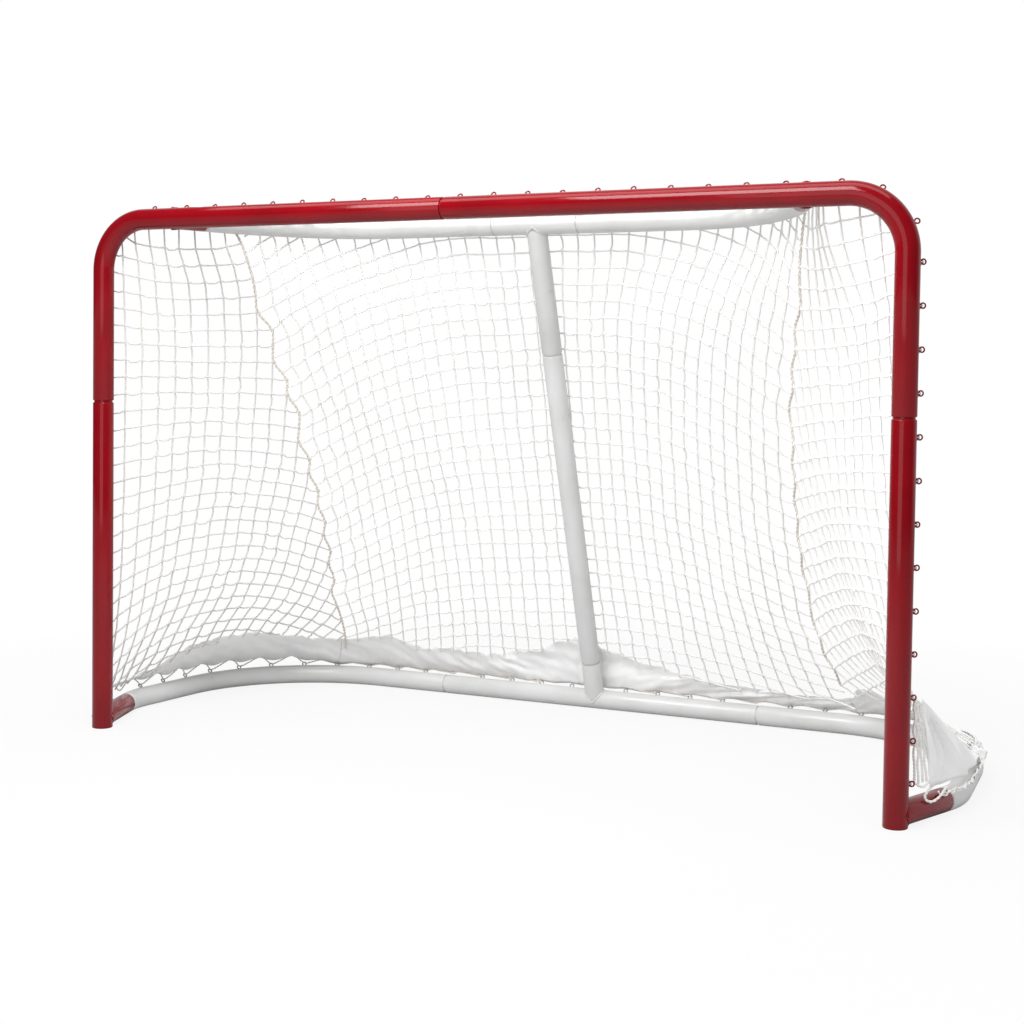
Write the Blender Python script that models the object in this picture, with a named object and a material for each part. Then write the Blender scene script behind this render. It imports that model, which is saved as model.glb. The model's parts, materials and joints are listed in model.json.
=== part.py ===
"""Ice hockey goal: a front frame, base and top bar of round steel tube, lacing hooks, a net and a skirt.

X runs along the crossbar, to the right for someone who faces the mouth. Y runs from the mouth into
the net, and Z is up. The goal stands on Z = 0, and its bounding box is centred on the Z axis.
Until the last line, Y = 0 is the middle plane of the front frame.
"""
import math

import bmesh
import bpy
from mathutils import Matrix, Vector

for old in list(bpy.data.objects):
    bpy.data.objects.remove(old, do_unlink=True)

# Tube stock
TUBE_OD = 0.048
TUBE_WALL = 0.0025
TUBE_SIDES = 14
ARC_STEP = 13.0                 # degrees of bend between two rings of a tube
EDGE_DOWN = 0.75 * TUBE_SIDES % 1    # turns a level tube's section so that an edge is straight below

# Slip joints: one tube necks down over a rounded shoulder to a spigot inside the other tube
SPIGOT_LENGTH = 0.060
SHOULDER_LENGTH = 0.008
SHOULDER_RINGS = 2
CLEARANCE = 0.0003
STUB_NECK = 0.965               # of a stub's radius where it starts, inside the facets of the main tube

# Front frame, 72 in wide between the posts and 48 in high to the top of the crossbar
OPENING_WIDTH = 1.8288
OVERALL_HEIGHT = 1.2192
CORNER_RADIUS = 0.115           # of the tube's middle line
POST_JOINT_HEIGHT = 0.775
CROSSBAR_JOINT_X = -0.040
POST_FLOOR = 0.004              # thickness of the closed foot of each post

# Base, from a welded stub at the foot of each post, flared outwards and then round to the back
BASE_DEPTH = 0.786
BASE_FLARE = 20.0
BASE_TOE_IN = 3.5
BASE_STUB = 0.170
BASE_SIDE_RADIUS = 0.200
BASE_REAR_RADIUS = 0.369
BASE_JOINT_X = 0.430
BASE_TEE = 0.105
LEAD = 0.012                    # straight tube between a joint and the bend after it

# Top bar, from a welded stub behind the crossbar, drawn in towards the back
TOP_DEPTH = 0.384
TOP_START_X = 0.743
TOP_DRAW_IN = 21.0
TOP_STUB = 0.085
TOP_SIDE_RADIUS = 0.600
TOP_SIDE_TURN = 20.0
TOP_REAR_RADIUS = 0.300
TOP_JOINT_X = 0.107
TOP_TEE = 0.311

# Lacing hooks, bent from wire into an eye with two feet and welded along the tubes
HOOK_WIRE = 0.0032
HOOK_EYE = 0.0130               # outside diameter of the eye
HOOK_LENGTH = 0.027             # over both feet
HOOK_REACH = 0.0165             # from the tube's surface to the top of the eye
HOOK_MOUTH = 0.0052             # between the middles of the two legs
HOOK_SUNK = 0.0018              # how far each foot sinks into the tube's round
HOOK_SIDES = 3
HOOK_FACETS = 4                 # straight lengths of wire round the eye
HOOK_PLUMP = 0.75               # brings the three-sided wire to about the round wire's section
POST_HOOK_PITCH = 0.082
POST_HOOK_FIRST = 0.081
POST_HOOK_TILT = 40.0           # behind straight outwards
BAR_HOOK_PITCH = 0.078
BAR_HOOKS = 19
BAR_HOOK_MIDDLE_X = -0.008
BAR_END_HOOK_X = 0.806
BAR_HOOK_TILT = 35.0            # behind straight up
CORNER_HOOK_TURN = 19.3         # of each corner hook from halfway round the bend
CORNER_HOOK_SUNK = 0.0014       # deeper than the other hooks, as its straight wire lies on a bend
STUB_HOOK = 0.110               # along the base from the post
BASE_HOOK_PITCH = 0.086
BASE_HOOK_FIRST = 0.105
BASE_HOOK_TILT = 45.0           # above straight outwards

# Net: a panel over each side, the back and the top, sewn together along the two rear corners
CORD = 0.004
NET_GAP = 0.008                 # between a knot of the net and the tube that it lies over
NET_HOOK_GAP = 0.001            # between the net and a hook
NET_WRAP = 25.0                 # how far over the top bar the net reaches, above level
NET_FOOT = 0.062                # height of the net's lower edge
NET_FOOT_OUT = 0.018            # of the lower edge, from the base's middle line
NET_CORNER_SLACK = 0.008        # behind the hook on the corner bend, which keeps the net off the tube
NET_ROWS = 7
SIDE_COLUMNS = 6
BACK_COLUMNS = 12
TOP_ROWS = 2
NET_FLARE = 0.150               # height over which the net leaves the base's outline
NET_DRAW = 0.170                # the same below the top bar
SEAM_FOOT_LEFT = 0.870          # along the base from the post
SEAM_FOOT_RIGHT = 0.980
SEAM_HEAD_LEFT = 0.100          # along the top bar from the crossbar
SEAM_HEAD_RIGHT = 0.230
SEAM_SAG = 0.085                # inwards, at most
SEAM_SAG_LOW = 0.7              # below 1, the most sag is below half height
SEAM_SPLIT = 0.008              # between the edge cords of the two panels
SEAM_CORD = 0.006
SEAM_WAVES = 9
SEAM_WAVE = 0.010
SEAM_WAVE_STEPS = 5

# Skirt: thin cloth outside the foot of the net
SKIRT_THICKNESS = 0.0016
SKIRT_CLEAR = 0.0106            # out on the level, from the middle of the net's cords
SKIRT_FOOT = 0.058              # height of its lower edge
SKIRT_START = 0.045             # along the base from the post
# Height of its upper edge at distances along the base from each post
SKIRT_LEFT_EDGE = ((0.045, 0.020), (0.280, 0.022), (0.380, 0.112), (0.580, 0.131), (0.880, 0.081),
                   (1.020, 0.100), (1.130, 0.068), (1.350, 0.062), (1.640, 0.120))
SKIRT_RIGHT_EDGE = ((0.045, 0.185), (0.540, 0.108), (0.880, 0.058), (1.000, 0.026), (1.270, 0.028),
                    (1.450, 0.065), (1.640, 0.120))
SKIRT_SPLIT = 0.004
SKIRT_FOLD = 0.005
SKIRT_FOLD_LENGTH = 0.150
SKIRT_FOLD_STEPS = 4
SKIRT_ROWS = 3

TUBE_R = TUBE_OD / 2
SPIGOT_R = TUBE_R - TUBE_WALL - CLEARANCE
POST_X = OPENING_WIDTH / 2 + TUBE_R
BAR_Z = OVERALL_HEIGHT - TUBE_R
OVERSHOOT = 0.002               # of a cutter past the face that it opens
UP = Vector((0, 0, 1))
LEFT = -1
RIGHT = 1

ROOT = bpy.data.objects.new("goal", None)
bpy.context.collection.objects.link(ROOT)


def material(name, colour, roughness, metallic=0.0):
    mat = bpy.data.materials.new(name)
    mat.use_nodes = True
    shader = mat.node_tree.nodes["Principled BSDF"]
    shader.inputs["Base Color"].default_value = (*colour, 1.0)
    shader.inputs["Roughness"].default_value = roughness
    shader.inputs["Metallic"].default_value = metallic
    return mat


RED = (0.50, 0.012, 0.022)
WHITE = (0.60, 0.61, 0.61)
CREAM = (0.74, 0.70, 0.61)
NYLON = (0.78, 0.77, 0.77)


class Course:
    """The middle line of a bent tube in one plane, with the heading at each ring."""

    def __init__(self, start, heading, normal):
        self.position = Vector(start)
        self.heading = Vector(heading).normalized()
        self.normal = Vector(normal).normalized()
        self.rings = [(self.position.copy(), self.heading.copy())]

    def straight(self, length):
        self.position = self.position + self.heading * length
        self.rings.append((self.position.copy(), self.heading.copy()))
        return self

    def bend(self, radius, degrees):
        """Turn left about the normal, or right where degrees is negative."""
        side = math.copysign(1.0, degrees)
        centre = self.position + self.normal.cross(self.heading) * radius * side
        steps = max(1, round(abs(degrees) / ARC_STEP))
        turn = Matrix.Rotation(math.radians(degrees) / steps, 3, self.normal)
        for _ in range(steps):
            self.position = centre + turn @ (self.position - centre)
            self.heading = turn @ self.heading
            self.rings.append((self.position.copy(), self.heading.copy()))
        return self

    def length(self):
        pairs = zip(self.rings, self.rings[1:])
        return sum((b[0] - a[0]).length for a, b in pairs)

    def at(self, distance):
        """Point and heading at a distance along the course."""
        for (a, heading_a), (b, heading_b) in zip(self.rings, self.rings[1:]):
            step = (b - a).length
            if distance <= step:
                share = distance / step
                return a.lerp(b, share), heading_a.lerp(heading_b, share).normalized()
            distance -= step
        return self.rings[-1]


def stations(course, spigot_start=False, spigot_end=False):
    """Rings of a tube with their radius; a spigot adds its shoulder and runs on into the next tube."""
    rings = [(point, heading, TUBE_R) for point, heading in course.rings]
    if spigot_start:
        point, heading, _ = rings[0]
        rings = shoulder(point, heading, -1)[::-1] + rings[1:]
    if spigot_end:
        point, heading, _ = rings[-1]
        rings = rings[:-1] + shoulder(point, heading, 1)
    return rings


def shoulder(point, heading, way):
    """Quarter-round neck up to the joint plane, then the spigot, along the heading or against it."""
    outwards = heading * way
    rings = []
    for step in range(SHOULDER_RINGS + 1):
        angle = math.radians(90) * step / SHOULDER_RINGS
        back = SHOULDER_LENGTH * (1 - math.sin(angle))
        radius = SPIGOT_R + (TUBE_R - SPIGOT_R) * math.cos(angle)
        rings.append((point - outwards * back, heading, radius))
    rings.append((point + outwards * SPIGOT_LENGTH, heading, SPIGOT_R))
    return rings


def sweep(bm, rings, sides, normal, phase=0.0):
    """Closed skin over rings of (point, heading, radius), capped at both ends."""
    loops = []
    for point, heading, radius in rings:
        across = normal.cross(heading).normalized()
        loop = []
        for side in range(sides):
            angle = math.tau * (side + phase) / sides
            spoke = across * math.cos(angle) + normal * math.sin(angle)
            loop.append(bm.verts.new(point + spoke * radius))
        loops.append(loop)
    for low, high in zip(loops, loops[1:]):
        for side in range(sides):
            after = (side + 1) % sides
            bm.faces.new((low[side], low[after], high[after], high[side]))
    bm.faces.new(loops[0][::-1])
    bm.faces.new(loops[-1])


def object_from(bm, name, mat=None):
    mesh = bpy.data.meshes.new(name)
    bm.to_mesh(mesh)
    bm.free()
    mesh.shade_smooth()
    mesh.set_sharp_from_angle(angle=math.radians(38))
    obj = bpy.data.objects.new(name, mesh)
    bpy.context.collection.objects.link(obj)
    obj.parent = ROOT
    if mat:
        mesh.materials.append(mat)
    return obj


def guide_from(bm, name):
    """A shape that only takes part in Booleans."""
    obj = object_from(bm, name)
    obj.hide_render = True
    obj.display_type = "WIRE"
    return obj


def boolean(obj, other, operation):
    step = obj.modifiers.new(other.name, "BOOLEAN")
    step.object = other
    step.operation = operation


def bore_rings(rings, closed_start=0.0, closed_end=0.0):
    """The inside of a tube: a wall's thickness smaller, past each open end or short of a closed one."""
    inner = [(point, heading, radius - TUBE_WALL) for point, heading, radius in rings]
    start, heading, radius = inner[0]
    way = (inner[1][0] - start).normalized()
    inner[0] = (start + way * (closed_start or -OVERSHOOT), heading, radius)
    end, heading, radius = inner[-1]
    way = (end - inner[-2][0]).normalized()
    inner[-1] = (end + way * (-closed_end or OVERSHOOT), heading, radius)
    return inner


def hook(bm, point, along, out):
    """Wire eye on the surface of a tube: a foot, a leg, round the eye, a leg and a foot."""
    normal = along.cross(out).normalized()
    wire_r = HOOK_WIRE / 2
    eye_r = HOOK_EYE / 2 - wire_r
    foot = TUBE_R - HOOK_SUNK + wire_r
    eye = TUBE_R + HOOK_REACH - HOOK_EYE / 2
    gap = math.asin(HOOK_MOUTH / 2 / eye_r)
    path = [(-HOOK_LENGTH / 2, foot), (-HOOK_MOUTH / 2 - HOOK_WIRE, foot)]
    for step in range(HOOK_FACETS + 1):
        angle = -math.pi / 2 - gap - (math.tau - 2 * gap) * step / HOOK_FACETS
        path.append((eye_r * math.cos(angle), eye + eye_r * math.sin(angle)))
    path += [(HOOK_MOUTH / 2 + HOOK_WIRE, foot), (HOOK_LENGTH / 2, foot)]
    points = [point + along * a + out * b for a, b in path]
    rings = []
    for index, spot in enumerate(points):
        before = points[max(index - 1, 0)]
        after = points[min(index + 1, len(points) - 1)]
        radius = wire_r / math.cos(math.pi / HOOK_SIDES) * HOOK_PLUMP
        rings.append((spot, (after - before).normalized(), radius))
    sweep(bm, rings, HOOK_SIDES, normal)


def tube(name, mat, rings, normal, phase=0.0, hooks=(), stub=None, closed_start=0.0):
    """A hollow tube with its welded hooks and, where stub is given, a stub of the same tube welded on.

    stub is (point on this tube's middle line, heading, length, normal, phase).
    """
    bm = bmesh.new()
    sweep(bm, rings, TUBE_SIDES, normal, phase)
    obj = object_from(bm, name, mat)
    if stub:
        point, heading, length, stub_normal, stub_phase = stub
        stub_rings = [(point, heading, TUBE_R), (point + heading * length, heading, TUBE_R)]
        neck = (point, heading, TUBE_R * STUB_NECK)
        branch = bmesh.new()
        sweep(branch, [neck, stub_rings[1]], TUBE_SIDES, stub_normal, stub_phase)
        boolean(obj, guide_from(branch, name + "_branch"), "UNION")
    if hooks:
        wires = bmesh.new()
        for point, along, out in hooks:
            hook(wires, point, along, out)
        boolean(obj, guide_from(wires, name + "_wires"), "UNION")
    bore = bmesh.new()
    sweep(bore, bore_rings(rings, closed_start), TUBE_SIDES, normal, phase)
    boolean(obj, guide_from(bore, name + "_bore"), "DIFFERENCE")
    if stub:
        stub_bore = bmesh.new()
        sweep(stub_bore, bore_rings(stub_rings, TUBE_WALL), TUBE_SIDES, stub_normal, stub_phase)
        boolean(obj, guide_from(stub_bore, name + "_stub_bore"), "DIFFERENCE")
    return obj


def outwards(side, degrees):
    """Level heading on one side of the goal, turned outwards from straight back."""
    angle = math.radians(degrees)
    return Vector((side * math.sin(angle), math.cos(angle), 0))


def base_course(side):
    """From the middle line of a post, round to the middle of the base's back."""
    turned = BASE_FLARE + BASE_TOE_IN
    corner = 90.0 - BASE_TOE_IN
    flare, toe = math.radians(BASE_FLARE), math.radians(BASE_TOE_IN)
    lead = BASE_STUB + LEAD
    spent = lead * math.cos(flare) + BASE_SIDE_RADIUS * (math.sin(flare) + math.sin(toe))
    spent += BASE_REAR_RADIUS * (1 - math.sin(toe))
    course = Course((side * POST_X, 0, TUBE_R), outwards(side, BASE_FLARE), UP)
    course.straight(lead).bend(BASE_SIDE_RADIUS, side * turned)
    course.straight((BASE_DEPTH - spent) / math.cos(toe)).bend(BASE_REAR_RADIUS, side * corner)
    return course.straight(abs(course.position.x))


def top_course(side):
    """From the middle line of the crossbar, round to the middle of the top bar's back."""
    start, end = math.radians(TOP_DRAW_IN), math.radians(TOP_DRAW_IN + TOP_SIDE_TURN)
    lead = TOP_STUB + LEAD
    spent = lead * math.cos(start) + TOP_SIDE_RADIUS * (math.sin(end) - math.sin(start))
    spent += TOP_REAR_RADIUS * (1 - math.sin(end))
    course = Course((side * TOP_START_X, 0, BAR_Z), outwards(side, -TOP_DRAW_IN), UP)
    course.straight(lead).bend(TOP_SIDE_RADIUS, side * TOP_SIDE_TURN)
    course.straight((TOP_DEPTH - spent) / math.cos(end))
    course.bend(TOP_REAR_RADIUS, side * (90.0 - math.degrees(end)))
    return course.straight(abs(course.position.x))


def trimmed(course, first, last_x):
    """The part of a course from a distance along it to the joint in its back run."""
    part = Course(*course.at(first), course.normal)
    walked = 0.0
    for (a, _), (b, heading) in zip(course.rings, course.rings[1:]):
        walked += (b - a).length
        if walked > first + 1e-6:
            part.rings.append((b.copy(), heading.copy()))
    end, heading = part.rings[-1]
    joint_x = math.copysign(last_x, part.rings[-2][0].x)
    part.rings[-1] = (Vector((joint_x, end.y, end.z)), heading)
    part.position = part.rings[-1][0].copy()
    return part


BASE = {side: base_course(side) for side in (LEFT, RIGHT)}
TOP = {side: top_course(side) for side in (LEFT, RIGHT)}
NAMES = {LEFT: "left", RIGHT: "right"}
BACK_FOOT = Vector((0, BASE_DEPTH, TUBE_R))
BACK_HEAD = Vector((0, TOP_DEPTH, BAR_Z))
SEAM_FOOT = {LEFT: SEAM_FOOT_LEFT, RIGHT: SEAM_FOOT_RIGHT}
SEAM_HEAD = {LEFT: SEAM_HEAD_LEFT, RIGHT: SEAM_HEAD_RIGHT}
LEAN = (BACK_HEAD - BACK_FOOT).normalized()
ACROSS = Vector((1, 0, 0))


def post_hook(side, height):
    tilt = math.radians(POST_HOOK_TILT)
    out = Vector((side * math.cos(tilt), math.sin(tilt), 0))
    return Vector((side * POST_X, 0, height)), UP, out


def bar_hook(x):
    tilt = math.radians(BAR_HOOK_TILT)
    return Vector((x, 0, BAR_Z)), ACROSS, Vector((0, math.sin(tilt), math.cos(tilt)))


def corner_hook(side, turn):
    """On the outside of the bend, turned towards the crossbar from halfway round it."""
    centre = Vector((side * (POST_X - CORNER_RADIUS), 0, BAR_Z - CORNER_RADIUS))
    angle = math.radians(45 + turn)
    spoke = Vector((side * math.cos(angle), 0, math.sin(angle)))
    along = Vector((side * math.sin(angle), 0, -math.cos(angle)))
    tilt = math.radians(POST_HOOK_TILT)
    out = (spoke * math.cos(tilt) + Vector((0, math.sin(tilt), 0))).normalized()
    return centre + spoke * CORNER_RADIUS - out * CORNER_HOOK_SUNK, along, out


def outward(heading, side):
    """Level direction out of the goal, square to a tube's heading."""
    return heading.cross(UP).normalized() * side


def base_hook(side, distance):
    point, heading = BASE[side].at(distance)
    tilt = math.radians(BASE_HOOK_TILT)
    return point, heading, outward(heading, side) * math.cos(tilt) + UP * math.sin(tilt)


def post_hook_heights():
    count = int((BAR_Z - CORNER_RADIUS - POST_HOOK_FIRST) / POST_HOOK_PITCH)
    return [POST_HOOK_FIRST + POST_HOOK_PITCH * index for index in range(count + 1)]


def front_frame():
    """Two cranked tubes that meet in the crossbar, over two posts with the base's stubs welded on."""
    half = (BAR_HOOKS - 1) / 2
    bar_hooks = [BAR_HOOK_MIDDLE_X + (index - half) * BAR_HOOK_PITCH for index in range(BAR_HOOKS)]
    bar_hooks += [side * BAR_END_HOOK_X for side in (LEFT, RIGHT)]
    for side in (LEFT, RIGHT):
        name = NAMES[side]
        mat = material("red_paint_corner_" + name, RED, 0.22)
        start = Vector((side * POST_X, 0, POST_JOINT_HEIGHT))
        course = Course(start, UP, (0, -1, 0))
        course.straight(BAR_Z - CORNER_RADIUS - POST_JOINT_HEIGHT).bend(CORNER_RADIUS, side * 90)
        course.straight(abs(course.position.x - CROSSBAR_JOINT_X))
        hooks = [post_hook(side, z) for z in post_hook_heights() if z > POST_JOINT_HEIGHT]
        hooks += [corner_hook(side, turn) for turn in (-CORNER_HOOK_TURN, CORNER_HOOK_TURN)]
        hooks += [bar_hook(x) for x in bar_hooks if (x - CROSSBAR_JOINT_X) * side > 0]
        start = Vector((side * TOP_START_X, 0, BAR_Z))
        stub = (start, outwards(side, -TOP_DRAW_IN), TOP_STUB, UP, 0.0)
        rings = stations(course, spigot_end=side == RIGHT)
        tube("corner_" + name, mat, rings, course.normal, 0.0, hooks, stub)

        mat = material("red_paint_post_" + name, RED, 0.22)
        course = Course((side * POST_X, 0, 0), UP, (0, -1, 0))
        course.straight(POST_JOINT_HEIGHT)
        hooks = [post_hook(side, z) for z in post_hook_heights() if z < POST_JOINT_HEIGHT]
        hooks.append(base_hook(side, STUB_HOOK))
        start = Vector((side * POST_X, 0, TUBE_R))
        stub = (start, outwards(side, BASE_FLARE), BASE_STUB, UP, EDGE_DOWN)
        rings = stations(course, spigot_end=True)
        tube("post_" + name, mat, rings, course.normal, 0.0, hooks, stub, POST_FLOOR)


def base_hook_distances(low, high):
    """Distances of the hooks along one half of the base, from the post."""
    count = int((BASE[RIGHT].length() - BASE_HOOK_FIRST) / BASE_HOOK_PITCH)
    places = [BASE_HOOK_FIRST + BASE_HOOK_PITCH * index for index in range(count + 1)]
    return [place for place in places if low < place < high]


def base():
    """Two bent tubes and a straight one between them, which carries the foot of the centre post."""
    joint = BASE[RIGHT].length() - BASE_JOINT_X
    clear = HOOK_LENGTH
    for side in (LEFT, RIGHT):
        name = NAMES[side]
        course = trimmed(BASE[side], BASE_STUB, BASE_JOINT_X)
        places = base_hook_distances(BASE_STUB + clear, joint - clear / 2)
        rings = stations(course, spigot_start=True, spigot_end=side == RIGHT)
        hooks = [base_hook(side, place) for place in places]
        mat = material("white_paint_base_" + name, WHITE, 0.30)
        tube("base_" + name, mat, rings, UP, EDGE_DOWN, hooks)
    course = Course((-BASE_JOINT_X, BASE_DEPTH, TUBE_R), ACROSS, UP).straight(2 * BASE_JOINT_X)
    places = base_hook_distances(joint + clear / 2, BASE[RIGHT].length() - TUBE_R - clear / 2)
    hooks = [base_hook(side, place) for side in (LEFT, RIGHT) for place in places]
    stub = (BACK_FOOT, LEAN, BASE_TEE, ACROSS, 0.0)
    rings = stations(course, spigot_start=True)
    mat = material("white_paint_base_centre", WHITE, 0.30)
    tube("base_centre", mat, rings, UP, EDGE_DOWN, hooks, stub)


def top_bar():
    """Two bent tubes and a short one between them, which carries the head of the centre post."""
    for side in (LEFT, RIGHT):
        name = NAMES[side]
        course = trimmed(TOP[side], TOP_STUB, TOP_JOINT_X)
        rings = stations(course, spigot_start=True, spigot_end=side == RIGHT)
        tube("top_bar_" + name, material("white_paint_top_" + name, WHITE, 0.30), rings, UP)
    course = Course((-TOP_JOINT_X, TOP_DEPTH, BAR_Z), ACROSS, UP).straight(2 * TOP_JOINT_X)
    stub = (BACK_HEAD, -LEAN, TOP_TEE, ACROSS, 0.0)
    rings = stations(course, spigot_start=True)
    tube("top_bar_centre", material("white_paint_top_centre", WHITE, 0.30), rings, UP, stub=stub)


def centre_post():
    """Leans back from the top bar to the base, with a spigot in the tee at each end."""
    course = Course(BACK_FOOT + LEAN * BASE_TEE, LEAN, ACROSS)
    course.straight((BACK_HEAD - BACK_FOOT).length - BASE_TEE - TOP_TEE)
    rings = stations(course, spigot_start=True, spigot_end=True)
    tube("centre_post", material("white_paint_centre_post", WHITE, 0.30), rings, ACROSS)


def spaced(first, last, steps):
    return [first + (last - first) * step / steps for step in range(steps + 1)]


def behind_hook(place):
    """A net's edge at a hook: level with its eye, just clear of the wire on the inner side."""
    point, along, out = place
    normal = along.cross(out).normalized()
    if normal.y < 0:
        normal = -normal
    eye = TUBE_R + HOOK_REACH - HOOK_EYE / 2
    return point + out * eye + normal * (HOOK_WIRE / 2 + CORD / 2 + NET_HOOK_GAP)


def behind_bar_hooks(x):
    """The top panel's front edge, as high as the net lies over the top bar."""
    tilt = math.radians(BAR_HOOK_TILT)
    reach = TUBE_R + NET_GAP + CORD / 2
    clear = HOOK_WIRE / 2 + CORD / 2 + NET_HOOK_GAP
    return Vector((x, reach * math.tan(tilt) + clear / math.cos(tilt), BAR_Z + reach))


def beside_base(side, distance, out=NET_FOOT_OUT, height=NET_FOOT):
    point, heading = BASE[side].at(distance)
    spot = point + outward(heading, side) * out
    return Vector((spot.x, spot.y, height))


def over_top_bar(side, distance, wrap=NET_WRAP):
    point, heading = TOP[side].at(distance)
    reach = TUBE_R + NET_GAP + CORD / 2
    angle = math.radians(wrap)
    return point + (outward(heading, side) * math.cos(angle) + UP * math.sin(angle)) * reach


def side_edges(side):
    """Lower and upper edge of a side panel, from the post to the rear corner's seam."""
    foot = behind_hook(post_hook(side, NET_FOOT))
    head = behind_hook(post_hook(side, BAR_Z - CORNER_RADIUS))
    distances = spaced(0, SEAM_FOOT[side] - SEAM_SPLIT / 2, SIDE_COLUMNS)[1:]
    bottom = [foot] + [beside_base(side, distance) for distance in distances]
    slack = Vector((0, NET_CORNER_SLACK, 0))
    corners = [corner_hook(side, turn) for turn in (-CORNER_HOOK_TURN, CORNER_HOOK_TURN)]
    top = [head] + [behind_hook(corner) + slack for corner in corners]
    top.append(behind_hook(bar_hook(side * BAR_END_HOOK_X)) + slack)
    along = spaced(TOP_STUB / 2, SEAM_HEAD[side] - SEAM_SPLIT / 2, SIDE_COLUMNS - len(top))
    return bottom, top + [over_top_bar(side, distance) for distance in along]


def back_edges():
    """Lower and upper edge of the back panel, from the left seam to the right one."""
    half = BACK_COLUMNS // 2
    split = SEAM_SPLIT / 2
    bottom, top = [], []
    for side in (LEFT, RIGHT):
        below = spaced(SEAM_FOOT[side] + split, BASE[side].length(), half)
        above = spaced(SEAM_HEAD[side] + split, TOP[side].length(), half)
        if side == RIGHT:
            below, above = below[-2::-1], above[-2::-1]
        bottom += [beside_base(side, distance) for distance in below]
        top += [over_top_bar(side, distance) for distance in above]
    return bottom, top


def top_edges():
    """Rear edge over the top bar and front edge along the crossbar's hooks, from left to right."""
    half = BACK_COLUMNS // 2
    straight_up = 90.0
    around = spaced(TOP_STUB, TOP[RIGHT].length(), half)
    rear = [over_top_bar(LEFT, distance, straight_up) for distance in around]
    rear += [over_top_bar(RIGHT, distance, straight_up) for distance in around[-2::-1]]
    front = [behind_bar_hooks(x) for x in spaced(-TOP_START_X, TOP_START_X, 2 * half)]
    return rear, front


def row_heights():
    """Shares of a panel's height for its rows, closer together near the bars."""
    return [0.5 - 0.5 * math.cos(math.pi * step / NET_ROWS) for step in range(NET_ROWS + 1)]


def seam_sag(side, height):
    """How a seam hangs in towards the goal's middle: straight from one row of the net to the next."""
    marks = row_heights()
    index = min(sum(mark <= height for mark in marks), NET_ROWS) - 1
    low, high = marks[index], marks[index + 1]
    low_sag, high_sag = [math.sin(math.pi * mark ** SEAM_SAG_LOW) for mark in (low, high)]
    share = (height - low) / (high - low)
    inwards = Vector((-side, -0.6, 0)).normalized()
    return inwards * SEAM_SAG * (low_sag + (high_sag - low_sag) * share)


def panel_row(edges, uprights, height):
    """One row of a panel, pulled straight between the uprights that hold it but flared out near the bars.

    uprights are (index of the column, side of the seam or None).
    """
    bottom, top = edges
    rise = (top[0] - bottom[0]).length
    near_foot = math.exp(-height * rise / NET_FLARE)
    near_head = 1 / (1 + ((1 - height) * rise / NET_DRAW) ** 3)
    held = []
    for index, seam in uprights:
        sag = seam_sag(seam, height) if seam else Vector()
        held.append(bottom[index].lerp(top[index], height) + sag)
    row = [held[0]]
    for (first, _), (last, _), start, end in zip(uprights, uprights[1:], held, held[1:]):
        for index in range(first + 1, last + 1):
            share = (index - first) / (last - first)
            flare = bottom[index] - bottom[first].lerp(bottom[last], share)
            draw = top[index] - top[first].lerp(top[last], share)
            row.append(start.lerp(end, share) + flare * near_foot + draw * near_head)
    return row


def side_rows(side):
    return [panel_row(side_edges(side), [(0, None), (SIDE_COLUMNS, side)], h) for h in row_heights()]


def back_rows():
    uprights = [(0, LEFT), (BACK_COLUMNS // 2, None), (BACK_COLUMNS, RIGHT)]
    return [panel_row(back_edges(), uprights, h) for h in row_heights()]


def grid_from(rows, name, mat):
    """A sheet of quads over rows of points."""
    bm = bmesh.new()
    verts = [[bm.verts.new(point) for point in row] for row in rows]
    for low, high in zip(verts, verts[1:]):
        for a, b, c, d in zip(low, low[1:], high[1:], high):
            bm.faces.new((a, b, c, d))
    return object_from(bm, name, mat)


def net_panel(name, rows):
    obj = grid_from(rows, name, material("net_twine_" + name, CREAM, 0.85))
    cords = obj.modifiers.new("cords", "WIREFRAME")
    cords.thickness = CORD
    cords.use_even_offset = True
    cords.use_boundary = True


def net():
    for side in (LEFT, RIGHT):
        net_panel("net_" + NAMES[side], side_rows(side))
    net_panel("net_back", back_rows())
    rear, front = top_edges()
    rows = [[low.lerp(high, share) for low, high in zip(rear, front)] for share in spaced(0, 1, TOP_ROWS)]
    net_panel("net_top", rows)


def seam_cord(side):
    """Sews a side panel to the back: winds from one panel's edge to the other, up from the skirt."""
    foot, head = beside_base(side, SEAM_FOOT[side]), over_top_bar(side, SEAM_HEAD[side])
    rise = head - foot
    low, high = BASE[side].at(SEAM_FOOT[side])[1], TOP[side].at(SEAM_HEAD[side])[1]
    clear = CORD / 2 + SEAM_CORD / 2 + CLEARANCE * 5
    first = (skirt_height(side, SEAM_FOOT[side]) + SEAM_CORD) / rise.length
    centres = []
    for share in spaced(0, 1, SEAM_WAVES * SEAM_WAVE_STEPS):
        height = first + (1 - first) * share
        along = low.lerp(high, height).normalized()
        sway = along * SEAM_WAVE * math.sin(math.tau * SEAM_WAVES * share)
        hung = foot + rise * height + seam_sag(side, height)
        centres.append(hung + outward(along, side) * clear + sway)
    curve = bpy.data.curves.new("seam_cord_" + NAMES[side], "CURVE")
    curve.dimensions = "3D"
    curve.bevel_depth = SEAM_CORD / 2
    curve.bevel_resolution = 0
    curve.use_fill_caps = True
    spline = curve.splines.new("POLY")
    spline.points.add(len(centres) - 1)
    for point, centre in zip(spline.points, centres):
        point.co = (*centre, 1)
    curve.materials.append(material("seam_twine_" + NAMES[side], CREAM, 0.85))
    obj = bpy.data.objects.new(curve.name, curve)
    bpy.context.collection.objects.link(obj)
    obj.parent = ROOT


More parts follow.
